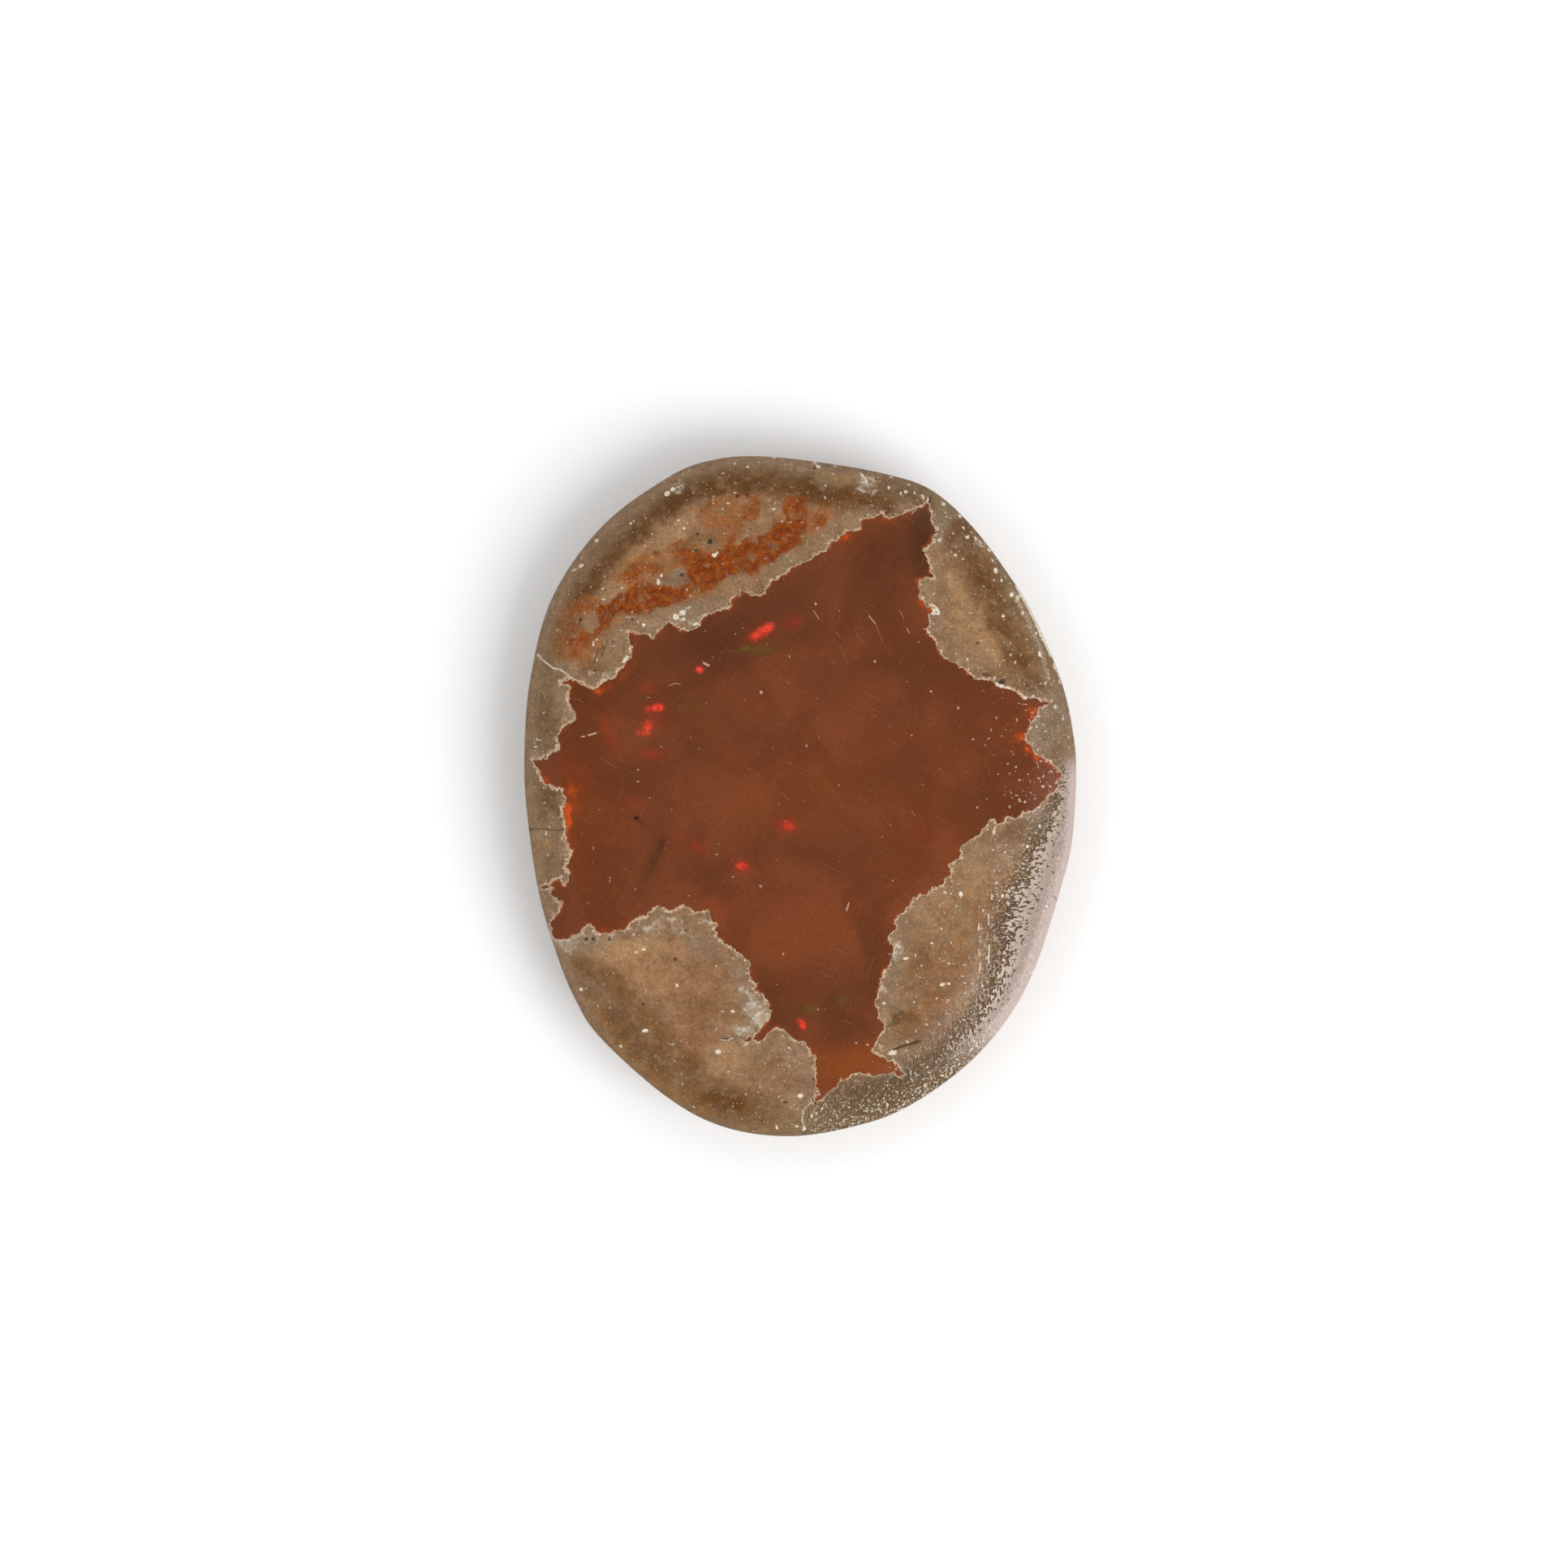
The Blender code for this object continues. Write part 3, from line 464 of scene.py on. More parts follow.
DUST = [
    (1005, 744, 2, 2, 0.9), (1078, 815, 2, 2.2, 0.85), (938, 853, 2.6, 2.4), (1147, 852, 2, 2, 0.9),
    (1055, 1285, 2.2, 1.6, 0.8), (1158, 948, 2, 2, 0.6), (878, 810, 2, 1.5, 0.6),
    (889, 804, 2, 1.5, 0.6), (906, 781, 2.2, 1.5, 0.65), (915, 774, 1.8, 1.5, 0.6),
    (1008, 1244, 1.8, 1.8, 0.7), (820, 1045, 2.2, 1.6, 0.55), (808, 1056, 1.6, 1.5, 0.5),
    (787, 1038, 1.6, 1.5, 0.5), (783, 1096, 2, 2.5, 0.6), (802, 1086, 1.5, 1.8, 0.5),
    (957, 1213, 1.8, 1.6, 0.6), (957, 1156, 1.4, 3, 0.5), (1100, 1085, 1.6, 2, 0.7),
    (1087, 1031, 2, 1.6, 0.6), (1143, 1085, 2, 1.6, 0.5), (851, 909, 1.6, 1.6, 0.6),
    (1107, 868, 1.6, 1.6, 0.5), (1115, 867, 1.6, 1.6, 0.45), (1097, 896, 1.8, 1.8, 0.55),
    (1182, 895, 2, 1.6, 0.55), (1164, 890, 1.6, 1.6, 0.5), (1239, 899, 2.6, 1.6, 0.6),
    (1250, 895, 1.5, 1.5, 0.55), (1264, 875, 1.8, 1.8, 0.7), (1260, 868, 1.6, 1.6, 0.7),
    (1235, 860, 1.8, 1.6, 0.6), (1236, 853, 1.8, 1.6, 0.6), (1146, 838, 2.4, 1.4, 0.5),
    (1052, 847, 3, 2, 0.35), (1042, 855, 3, 1.6, 0.3), (1030, 1165, 1.5, 1.5, 0.45),
    (900, 988, 1.5, 1.5, 0.4), (817, 989, 2, 1.4, 0.35), (1070, 1146, 1.6, 1.6, 0.4),
    (1084, 1098, 1.3, 3, 0.35), (1136, 635, 1.6, 1.6, 0.3), (1296, 951, 1.8, 4, 0.7, -30),
    (1280, 959, 3, 2.2, 0.7), (1290, 964, 2.2, 1.6, 0.6), (1285, 969, 3, 2.5, 0.9),
    (1294, 969, 2.5, 2, 0.8), (1301, 965, 2, 2.5, 0.7, 30), (1267, 954, 3, 1.6, 0.7, -20),
    (1256, 961, 2, 2, 0.8), (1263, 988, 2, 2.5, 0.8, -30), (1256, 985, 2, 2, 0.9),
    (1244, 994, 2, 3, 0.8), (1275, 984, 3, 1.8, 0.7), (1204, 995, 1.8, 2, 0.8),
    (1199, 911, 2, 1.8, 0.8), (1218, 910, 3, 1.5, 0.8, -20), (1214, 918, 1.8, 1.5, 0.7),
    (1224, 930, 1.5, 2, 0.6, 20), (1252, 945, 1.8, 2.2, 0.8), (1244, 953, 1.6, 2, 0.7),
    (1230, 954, 1.8, 1.6, 0.7), (1216, 985, 1.6, 1.8, 0.7), (1239, 970, 1.6, 1.6, 0.6),
    (1246, 977, 1.6, 1.6, 0.7), (1270, 977, 1.6, 2, 0.7), (1069, 1283, 1.8, 1.6, 0.5),
    (1104, 1317, 2, 1.6, 0.8), (1015, 1303, 1.8, 1.6, 0.5),
]

# Dark spots in the opal
OPAL_DARK = [
    (784, 1008, 3, 2.6), (789, 1013, 5, 1.4, 0.5, 40), (816, 1040, 4, 9, 0.3, 25),
    (806, 1062, 4, 14, 0.25, 25), (796, 1080, 5, 12, 0.15, 25),
]

# How the grinding left the shoulder, which also sets how strongly the painted glare shows: heading in
# degrees, roughness, and the millimetres from the rim that make one step of its pattern
GRIND = [
    (-180, 0.15, 0.6), (-140, 0.1, 0.6), (-115, 0.12, 0.6), (-98, 0.3, 0.6), (-86, 0.75, 0.6),
    (-62, 0.9, 0.5), (-45, 1, 0.6), (-35, 1, 0.85), (-25, 1, 0.95), (-12, 1, 0.75), (-7, 1, 0.5),
    (2, 0.95, 0.38), (9, 0.6, 0.3), (15, 0.5, 0.4), (25, 0.45, 0.5), (45, 0.5, 0.5), (65, 0.55, 0.5),
    (90, 0.4, 0.5), (125, 0.3, 0.5), (150, 0.2, 0.6), (180, 0.15, 0.6),
]


def plan_point(points):
    """Points of an outline in metres, as in the part."""
    return (np.asarray(points, float) - PLAN_MIDDLE) * PLAN_UNIT * (1, -1)


def closed_curve(corners, steps):
    """A smooth closed curve through the corners, with steps points to a stretch."""
    a, b, c, d = (np.roll(corners, k, 0)[:, None] for k in (1, 0, -1, -2))
    t = (np.arange(steps) / steps)[None, :, None]
    curve = 0.5 * (2 * b + (c - a) * t + (2 * a - 5 * b + 4 * c - d) * t**2
                   + (3 * b - a - 3 * c + d) * t**3)
    return curve.reshape(-1, 2)


def evenly_spaced(line, count):
    """A closed line divided into count stretches of one length."""
    closed = np.vstack([line, line[:1]])
    reach = np.concatenate([[0], np.cumsum(np.linalg.norm(np.diff(closed, axis=0), axis=1))])
    wanted = reach[-1] * np.arange(count) / count
    return np.stack([np.interp(wanted, reach, closed[:, k]) for k in (0, 1)], 1)


class Outline:
    """A closed line in plan, with a quick way to its nearest corner."""

    def __init__(self, line):
        self.line = line
        self.tree = KDTree(len(line))
        for i, (x, y) in enumerate(line):
            self.tree.insert((x, y, 0), i)
        self.tree.balance()

    def gap(self, points):
        """How far each point lies from the line, by way of its nearest corner."""
        near = np.array([self.tree.find((x, y, 0))[1] for x, y in points])
        best = np.full(len(points), np.inf)
        for step in (-1, 0):
            a = self.line[(near + step) % len(self.line)]
            side = self.line[(near + step + 1) % len(self.line)] - a
            share = ((points - a) * side).sum(1) / np.maximum((side**2).sum(1), 1e-30)
            gap = points - a - side * share.clip(0, 1)[:, None]
            best = np.minimum(best, np.hypot(*gap.T))
        return best

    def between(self, points, least, most=math.inf):
        """The points that lie between these distances, in millimetres, from the line."""
        gap = self.gap(points)
        return points[(gap > least * MM) & (gap < most * MM)]

    def holds(self, points):
        """Whether each point lies inside the line."""
        inside = np.zeros(len(points), bool)
        x, y = points.T
        for (ax, ay), (bx, by) in zip(self.line, np.roll(self.line, -1, 0)):
            if ay != by:
                inside ^= ((ay > y) != (by > y)) & (x < ax + (bx - ax) * (y - ay) / (by - ay))
        return inside


def shoulder_width(points):
    """The shoulder's width at points, which is larger on one side of the stone."""
    turn = np.arctan2(points[:, 1], points[:, 0]) - WIDE_SHOULDER_HEADING
    turn = np.arctan2(np.sin(turn), np.cos(turn))
    return SHOULDER_WIDTH + WIDE_SHOULDER_EXTRA * np.exp(-((turn / WIDE_SHOULDER_SPREAD) ** 2))


def face_height(points, inward):
    """Height of the polished face at points that lie these distances in from the rim."""
    out = (2 * points[:, 0] / WIDTH) ** 2 + (2 * points[:, 1] / LENGTH) ** 2
    left = (1 - inward / shoulder_width(points)).clip(0, 1)
    fall = 1 - (1 - left**SHOULDER_POWER) ** (1 / SHOULDER_POWER)
    return THICKNESS - CROWN_RISE * out - SHOULDER_DROP * fall


rim = Outline(evenly_spaced(closed_curve(plan_point(RIM), steps=16), RIM_POINTS))
along = np.roll(rim.line, -1, 0) - np.roll(rim.line, 1, 0)
inward_normal = np.stack([along[:, 1], -along[:, 0]], 1) / np.hypot(*along.T)[:, None]


def nearness(heights):
    """How much larger things at these heights look to the camera than at the rim."""
    return (CAMERA_DISTANCE / (CAMERA_DISTANCE - (heights - RIM_HEIGHT)))[:, None]


def seen_at(points, heights):
    """Where the camera sees points, in plan units."""
    return (points - CAMERA_AT) * nearness(heights) / PLAN_UNIT * (1, -1) + PICTURE / 2


def on_face(seen):
    """The points of the polished face that the camera sees at these places."""
    flat = (np.asarray(seen, float) - PICTURE / 2) * (1, -1) * PLAN_UNIT
    points = flat + CAMERA_AT
    for _ in range(4):
        points = flat / nearness(face_height(points, rim.gap(points))) + CAMERA_AT
    return points


def roughened(line, longest, amount):
    """A closed line with its long stretches halved, each new corner moved sideways at random."""
    while True:
        ends = np.roll(line, -1, 0)
        side = ends - line
        length = np.hypot(*side.T)
        if length.max() <= longest:
            return line
        sideways = np.stack([side[:, 1], -side[:, 0]], 1) * rng.normal(0, amount, len(line))[:, None]
        middle = (line + ends) / 2 + sideways
        pairs = [(a, m) if long else (a,) for a, m, long in zip(line, middle, length > longest)]
        line = np.array([p for pair in pairs for p in pair])


def grid(spacing, reach=1.05, row_gap=0.866, jitter=0.12):
    """A staggered grid of points, this many millimetres apart, over the stone's outline box.

    The gap between rows and the jitter are shares of the spacing.
    """
    spacing = spacing * MM
    rows = int(reach * LENGTH / 2 / (spacing * row_gap))
    columns = int(reach * WIDTH / 2 / spacing)
    row, column = np.mgrid[-rows:rows + 1, -columns:columns + 1]
    points = np.stack([(column + 0.5 * (row % 2)) * spacing, row * spacing * row_gap], -1)
    points = points.reshape(-1, 2)
    return points + rng.uniform(-jitter, jitter, points.shape) * spacing


def around_blob(x, y, half_width, half_height, _=1, turn=0):
    """A small mark's middle, and points inside and outside its edge."""
    c, s = math.cos(math.radians(turn)), math.sin(math.radians(turn))
    found = [(x, y)]
    for reach, count in ((0.62, 5), (1.15, 8)):
        for k in range(count):
            a = 2 * math.pi * (k + 0.3) / count
            u, v = reach * half_width * math.cos(a), reach * half_height * math.sin(a)
            found.append((x + u * c - v * s, y + u * s + v * c))
    return found


def around_stroke(width, line):
    """Points along a stroke's middle and edges, at least every 2.2 plan units."""
    found = []
    for (ax, ay), (bx, by) in zip(line, line[1:]):
        length = math.hypot(bx - ax, by - ay)
        nx, ny = (by - ay) / length, (ax - bx) / length
        count = int(length / 2.2) + 1
        for k in range(count):
            t = (k + 0.5) / count
            for off in (-0.9, 0, 0.9):
                found.append((ax + (bx - ax) * t + nx * width * off,
                              ay + (by - ay) * t + ny * width * off))
    return found


def around_marks():
    """Extra points where the marks need a finer mesh."""
    found = []
    for blobs in (GLINT_AND_CRUMB_BLOBS, DARK_BLOBS, FIRE_BLOBS, GREEN_BLOBS, DUST, OPAL_DARK):
        for blob in blobs:
            if min(blob[2:4]) <= SMALL_MARK:
                found += around_blob(*blob)
    for strokes in (HIGHLIGHT_AND_PALE_STROKES, DARK_STROKES, SCRATCHES):
        for width, _, line in strokes:
            found += around_stroke(width, line)
    return on_face(found)


def thinned(points, closest):
    """Points with no two closer than this, the first ones kept."""
    cells, kept = {}, []
    for i, (x, y) in enumerate(points):
        at = (int(x // closest), int(y // closest))
        near = [cells.get((at[0] + u, at[1] + v)) for u in (-1, 0, 1) for v in (-1, 0, 1)]
        if all(p is None or math.hypot(p[0] - x, p[1] - y) >= closest for p in near):
            cells[at] = (x, y)
            kept.append(i)
    return points[kept]


def divided(outer, inner, extra):
    """Points and triangles over an outline that keep to an inner one, and the points' distances
    from the inner one, which are negative outside it."""
    points = [Vector(p) for p in np.vstack([outer, inner.line, extra])]
    first, last = len(outer), len(outer) + len(inner.line)
    loops = [list(reversed(range(first))), list(reversed(range(first, last)))]
    cut = delaunay_2d_cdt(points, [], loops, 1, 1e-9)
    at, faces = np.array([tuple(p) for p in cut[0]]), np.array(cut[2])
    within = np.zeros(len(at), bool)
    within[faces[np.array([1 in source for source in cut[5]])].ravel()] = True
    gap = inner.gap(at)
    gap[gap < ON_THE_LINE] = 0
    return at, faces, gap * np.where(within, 1, -1)


contact = Outline(roughened(on_face(CONTACT), longest=0.11 * MM, amount=0.13))


def polished_face():
    """The points and triangles of the polished face, and the distances from rim and contact.

    The sets of points keep a little apart, and clear of the rows along the rim.
    """
    coarse, fine, finest = grid(OPAL_GRID), grid(ROCK_GRID), grid(CONTACT_GRID)
    coarse = contact.between(coarse[contact.holds(coarse)], 0.24)
    fine = contact.between(fine[rim.holds(fine) & ~contact.holds(fine)], 0.22)
    fine = rim.between(fine, 0.33)
    finest = contact.between(finest[rim.holds(finest)], 0.05, 0.21)
    finest = rim.between(finest, 0.3)
    marks = around_marks()
    marks = contact.between(rim.between(marks[rim.holds(marks)], 0.3), 0.04)
    filling = thinned(np.vstack([marks, finest, fine, coarse]), closest=0.045 * MM)
    rows = np.vstack([rim.line + inward_normal * d * MM for d in RIM_ROWS])
    rows = contact.between(rows, 0.03)
    at, faces, from_contact = divided(rim.line, contact, np.vstack([rows, filling]))
    from_rim = rim.gap(at)
    from_rim[:RIM_POINTS] = 0
    return at, faces, from_rim, from_contact


def back_face():
    """The points and triangles of the flat back, and the distances from its own contact."""
    outer = rim.line + inward_normal * (BACK_INSET + BACK_BEVEL)
    centre = plan_point([STAR_MIDDLE])
    star = Outline(centre + (contact.line[::2] - centre) * BACK_STAR_SCALE)
    filling = grid(BACK_GRID)
    filling = star.between(filling[Outline(outer).holds(filling)], 0.3)
    filling = rim.between(filling, 0.5 + (BACK_INSET + BACK_BEVEL) / MM)
    at, faces, from_contact = divided(outer, star, filling)
    return at, faces[:, ::-1], from_contact


def smooth(value, low, high):
    """A smooth step from 0 at low to 1 at high."""
    t = ((value - low) / (high - low)).clip(0, 1)
    return t * t * (3 - 2 * t)


class Canvas:
    """Masks over the points of the polished face, painted where the camera sees them."""

    def __init__(self, seen, bend=0.0):
        if bend:
            places = seen / BEND_SIZE
            drift = [turbulence_vector((x, y, 0), 3, False)[:2] for x, y in places]
            seen = seen + bend * np.array(drift)
        self.x, self.y = seen.T

    def blob(self, mask, soft, x, y, half_width, half_height, strength=1, turn=0):
        """Paints a soft spot. Where two overlap, a third of the weaker one is added."""
        reach = max(half_width, half_height) * (1 + soft)
        near = np.flatnonzero(np.hypot(self.x - x, self.y - y) < reach)
        c, s = math.cos(math.radians(turn)), math.sin(math.radians(turn))
        dx, dy = self.x[near] - x, self.y[near] - y
        q = np.hypot((dx * c + dy * s) / half_width, (dy * c - dx * s) / half_height)
        value = strength * smooth(1 + soft - q, 0, 2 * soft)
        if strength > 0:
            mask[near] = np.maximum(mask[near], value) + 0.35 * np.minimum(mask[near], value)
        else:
            mask[near] += value

    def blobs(self, items, soft, share=1.0):
        """A mask of blobs, each drawn at this share of its size."""
        mask = np.zeros(len(self.x))
        for x, y, half_width, half_height, *rest in items:
            self.blob(mask, soft, x, y, share * half_width, share * half_height, *rest)
        return mask

    def strokes(self, items, soft):
        """A mask of strokes with soft edges."""
        mask = np.zeros(len(self.x))
        for width, strength, line in items:
            for (ax, ay), (bx, by) in zip(line, line[1:]):
                length = (bx - ax) ** 2 + (by - ay) ** 2
                share = ((self.x - ax) * (bx - ax) + (self.y - ay) * (by - ay)) / length
                share = share.clip(0, 1)
                gap = np.hypot(self.x - ax - (bx - ax) * share, self.y - ay - (by - ay) * share)
                inward = width / 2 * (1 + soft) - gap
                mask = np.maximum(mask, strength * smooth(inward, 0, width * soft))
        return mask


def painted(seen, at, from_rim, from_contact):
    """Every mask of the polished face by name."""
    canvas, bent = Canvas(seen), Canvas(seen, BEND)
    grey = bent.blobs(GREY_BLOBS, 0.5)
    away = smooth(-from_contact / MM, 0.7, 1.2)
    masks = {
        "rust": (bent.blobs(RUST_BLOBS, 0.5) - grey).clip(0, 1.2) * away,
        "tint": (bent.blobs(TINT_BLOBS, 0.7) - 0.8 * grey).clip(0, 1) * away,
        "tan": bent.blobs(TAN_BLOBS, 0.8),
        # grey clouds, and along the right shoulder a painted sheen
        "ash": bent.blobs(ASH_AND_SHEEN_BLOBS, 0.8),
        "warm": bent.blobs(WARM_BLOBS, 0.8),
        "olive": np.maximum(bent.strokes(OLIVE_STROKES, 0.8), bent.blobs(OLIVE_BLOBS, 0.8)),
        "gold": bent.strokes(GOLD_STROKES, 0.9),
        # pale crumbs and lines, with painted glints and a painted highlight along the right rim
        "pale": np.maximum(canvas.strokes(HIGHLIGHT_AND_PALE_STROKES, 0.7), canvas.blobs(GLINT_AND_CRUMB_BLOBS, 0.5, 0.8)),
        "dark": np.maximum(canvas.strokes(DARK_STROKES, 0.7), canvas.blobs(DARK_BLOBS, 0.45)),
        # chalky patches, and beside the opal's right tip a painted glare
        "chalk": canvas.blobs(CHALK_AND_GLARE_BLOBS, 0.6),
        "fire": canvas.blobs(FIRE_BLOBS, 0.4),
        "ember": canvas.blobs(EMBER_BLOBS, 0.9),
        "green": canvas.blobs(GREEN_BLOBS, 0.6),
        "glow": canvas.blobs(GLOW_BLOBS, 0.8),
        "tone": canvas.blobs(TONE_BLOBS, 0.9),
        "dust": canvas.blobs(DUST, 0.45, 0.85),
        "scratch": canvas.strokes(SCRATCHES, 0.8),
        "opal_dark": canvas.blobs(OPAL_DARK, 0.6),
    }
    heading = np.degrees(np.arctan2(at[:, 1], at[:, 0]))
    headings, roughness, step = zip(*GRIND)
    masks["grind"] = np.interp(heading, headings, roughness) * (from_contact < 0)
    masks["ground_gap"] = from_rim / MM / np.interp(heading, headings, step)
    masks["rim_gap"] = from_rim / MM
    masks["shoulder"] = smooth(from_rim / shoulder_width(at), 1.0, 0.35)
    masks["contact"] = from_contact / MM
    return masks


face_at, face_faces, face_rim, face_contact = polished_face()
face_z = face_height(face_at, face_rim)
masks = painted(seen_at(face_at, face_z), face_at, face_rim, face_contact)

# The rock is worn a little lower than the opal, and pits and cracks go deeper
rock_wear = ROCK_WEAR * smooth(-face_contact / MM, 0.0, 0.15)
pits = PIT_DEPTH * masks["dark"].clip(0, 1) * smooth(face_rim / MM, 0.05, 0.3)
crumbs = CRUMB_HEIGHT * masks["pale"].clip(0, 1) * smooth(face_rim / MM, 0.1, 0.5)
face_z = face_z - rock_wear * smooth(face_rim / MM, 0.0, 0.4) - pits + crumbs

# The side, from the girdle down: a share of the inset and a share of the girdle's height
levels = np.array((1.0, 0.97, 0.93, 0.88, 0.80, 0.70, 0.60, 0.50, 0.40, 0.31, 0.23, 0.16))
insets = np.interp(levels, (0.10, 0.25, 0.48, 0.72, 0.9, 1.0), (1.0, 0.66, 0.34, 0.12, 0.03, 0.0))
insets = np.convolve(np.pad(insets, 1, mode="edge"), (0.25, 0.5, 0.25), "valid")
points = [np.column_stack([face_at, face_z])]
rings = [np.arange(RIM_POINTS)]


def add_points(at, height):
    """Adds points that lie at a height and start with a ring round the stone."""
    start = sum(map(len, points))
    points.append(np.column_stack([at, np.broadcast_to(height, len(at))]))
    rings.append(np.arange(start, start + RIM_POINTS))


def inside_rim(share):
    """The rim, moved inward by a share of the back's inset."""
    return rim.line + inward_normal * BACK_INSET * share


for level, inset in zip(levels[1:], insets[1:]):
    add_points(inside_rim(inset), face_z[:RIM_POINTS] * level)
# The bevel, with a ring between its ends that rounds it
add_points(inside_rim(1.0), BACK_BEVEL)
add_points(inside_rim(1.0 + 0.2 * BACK_BEVEL / BACK_INSET), BACK_BEVEL * 0.62)
back_at, back_faces, back_contact = back_face()
add_points(back_at, 0.0)
back_start = rings[-1][0]
points = np.vstack(points)

# The map that a bake draws on has the face, the side in two strips and the back, laid out in pixels
drop = np.cumsum([0] + [
    np.linalg.norm(points[b] - points[a], axis=1).mean() for a, b in zip(rings, rings[1:])
]) / MM
step = np.linalg.norm(np.diff(rim.line, axis=0), axis=1).mean() / MM
side_faces, side_map = [], []
for row, (upper, lower) in enumerate(zip(rings, rings[1:])):
    for i in range(RIM_POINTS):
        j = (i + 1) % RIM_POINTS
        side_faces.append((upper[i], upper[j], lower[j], lower[i]))
        strip, start = divmod(i, RIM_POINTS // 2)
        left, right = start * step, (start + 1) * step
        top, bottom = drop[row] + STRIP_PITCH * strip, drop[row + 1] + STRIP_PITCH * strip
        side_map += [(left, top), (right, top), (right, bottom), (left, bottom)]
half_box = np.array((WIDTH, LENGTH)) / 2
face_map = (face_at + half_box)[face_faces] / MM
back_map = (back_at * (-1, 1) + half_box)[back_faces] / MM
places = np.vstack([
    face_map.reshape(-1, 2) / FACE_PIXEL + FACE_CORNER,
    np.array(side_map) / SIDE_PIXEL * (1, -1) + SIDE_CORNER,
    back_map.reshape(-1, 2) / BACK_PIXEL + BACK_CORNER,
]) / MAP_PIXELS

mesh = bpy.data.meshes.new("opal_stone_fine")
faces = face_faces.tolist() + side_faces + (back_faces + back_start).tolist()
mesh.from_pydata(points.tolist(), [], faces)
mesh.uv_layers.new(name="OFBake").uv.foreach_set("vector", places.astype(np.float32).ravel())
mesh.shade_smooth()
mesh.set_sharp_from_angle(angle=math.radians(38))

side_values = {"contact": -3.0, "shoulder": 1.0, "grind": 0.15, "rim_gap": 1.0, "ground_gap": 1.6}
back_values = side_values | {"contact": back_contact / MM, "shoulder": 0.25}
for name, values in masks.items():
    full = np.full(len(points), side_values.get(name, 0.0))
    full[:len(face_at)] = values
    full[back_start:] = back_values.get(name, 0.0)
    attribute = mesh.attributes.new(name, "FLOAT", "POINT")
    attribute.data.foreach_set("value", full.astype(np.float32))


def linear(red, green, blue):
    """A colour given in screen values of 0 to 255."""
    return tuple(
        v / 12.92 if v <= 0.04045 else ((v + 0.055) / 1.055) ** 2.4
        for v in (red / 255, green / 255, blue / 255)
    )


def rock_colour(red, green, blue):
    """A rock colour less the sheen that the polish adds to it."""
    return tuple(max(v - 0.008, 0.003) for v in linear(red, green, blue))


class Nodes:
    """Short ways to add and join the nodes of a material or a world."""

    def __init__(self, owner):
        owner.use_nodes = True
        self.tree = owner.node_tree

    def join(self, socket, value):
        if isinstance(value, bpy.types.NodeSocket):
            self.tree.links.new(value, socket)
        elif socket.type == "RGBA":
            socket.default_value = (*value, 1)
        else:
            socket.default_value = value

    def add(self, kind, inputs=(), output=0, **settings):
        node = self.tree.nodes.new(kind)
        for name, value in settings.items():
            setattr(node, name, value)
        for name, value in dict(inputs).items():
            self.join(node.inputs[name], value)
        return node.outputs[output]

    def math(self, operation, a, b):
        return self.add("ShaderNodeMath", {0: a, 1: b}, operation=operation)

    def times(self, *values):
        total = values[0]
        for value in values[1:]:
            total = self.math("MULTIPLY", total, value)
        return total

    def plus(self, a, b):
        return self.math("ADD", a, b)

    def minus(self, a, b):
        return self.math("SUBTRACT", a, b)

    def swing(self, noise, *amounts):
        """A noise as a change either way, times these amounts."""
        return self.times(self.plus(noise, -0.5), *amounts)

    def ragged(self, mask, noise, amount, start=0.0):
        """A mask with its edges made uneven by a noise."""
        return self.plus(mask, self.swing(noise, self.ramp(mask, start, 0.2), amount))

    def vector(self, operation, a, b):
        """Vector arithmetic, with a number as b for SCALE and a vector for the others."""
        second = "Scale" if operation == "SCALE" else 1
        return self.add("ShaderNodeVectorMath", {0: a, second: b}, operation=operation)

    def blend(self, share, a, b):
        return self.add("ShaderNodeMix", {0: share, 2: a, 3: b}, data_type="FLOAT")

    def mix(self, share, a, b, blend="MIX"):
        return self.add("ShaderNodeMix", {0: share, 6: a, 7: b}, 2, data_type="RGBA", blend_type=blend)

    def layers(self, colour, *rows):
        """A colour with others over it, the lowest first: each row is a share and a colour."""
        for share, upper in rows:
            colour = self.mix(share, colour, upper)
        return colour

    def shaded(self, colour, *rows):
        """A colour made darker and lighter by textures: each row is what a ramp takes."""
        for row in rows:
            colour = self.mix(1.0, colour, self.ramp(*row), "MULTIPLY")
        return colour

    def slope(self, value, low, high, start=0.0, end=1.0, **settings):
        inputs = {"Value": value, "From Min": low, "From Max": high, "To Min": start, "To Max": end}
        return self.add("ShaderNodeMapRange", inputs, **settings)

    def ramp(self, value, low, high, start=0.0, end=1.0):
        return self.slope(value, low, high, start, end, interpolation_type="SMOOTHSTEP")

    def noise(self, where, scale, detail=2.0, roughness=0.5, distortion=0.0, output=0):
        inputs = {"Vector": where, "Scale": scale, "Detail": detail, "Roughness": roughness,
                  "Distortion": distortion}
        return self.add("ShaderNodeTexNoise", inputs, output)

    def dots(self, where, scale, radius, chance):
        """Round dots, one at most to a cell. chance is the share of cells that have one."""
        cell = self.add("ShaderNodeTexVoronoi", {"Vector": where, "Scale": scale}).node.outputs
        luck, size = (self.add("ShaderNodeSeparateColor", {0: cell["Color"]}, k) for k in (0, 1))
        reach = self.plus(self.times(size, radius * 0.9), radius * 0.35)
        dot = self.ramp(self.minus(reach, cell["Distance"]), -0.35 * radius, 0.6 * radius)
        return self.times(dot, self.math("LESS_THAN", luck, chance))


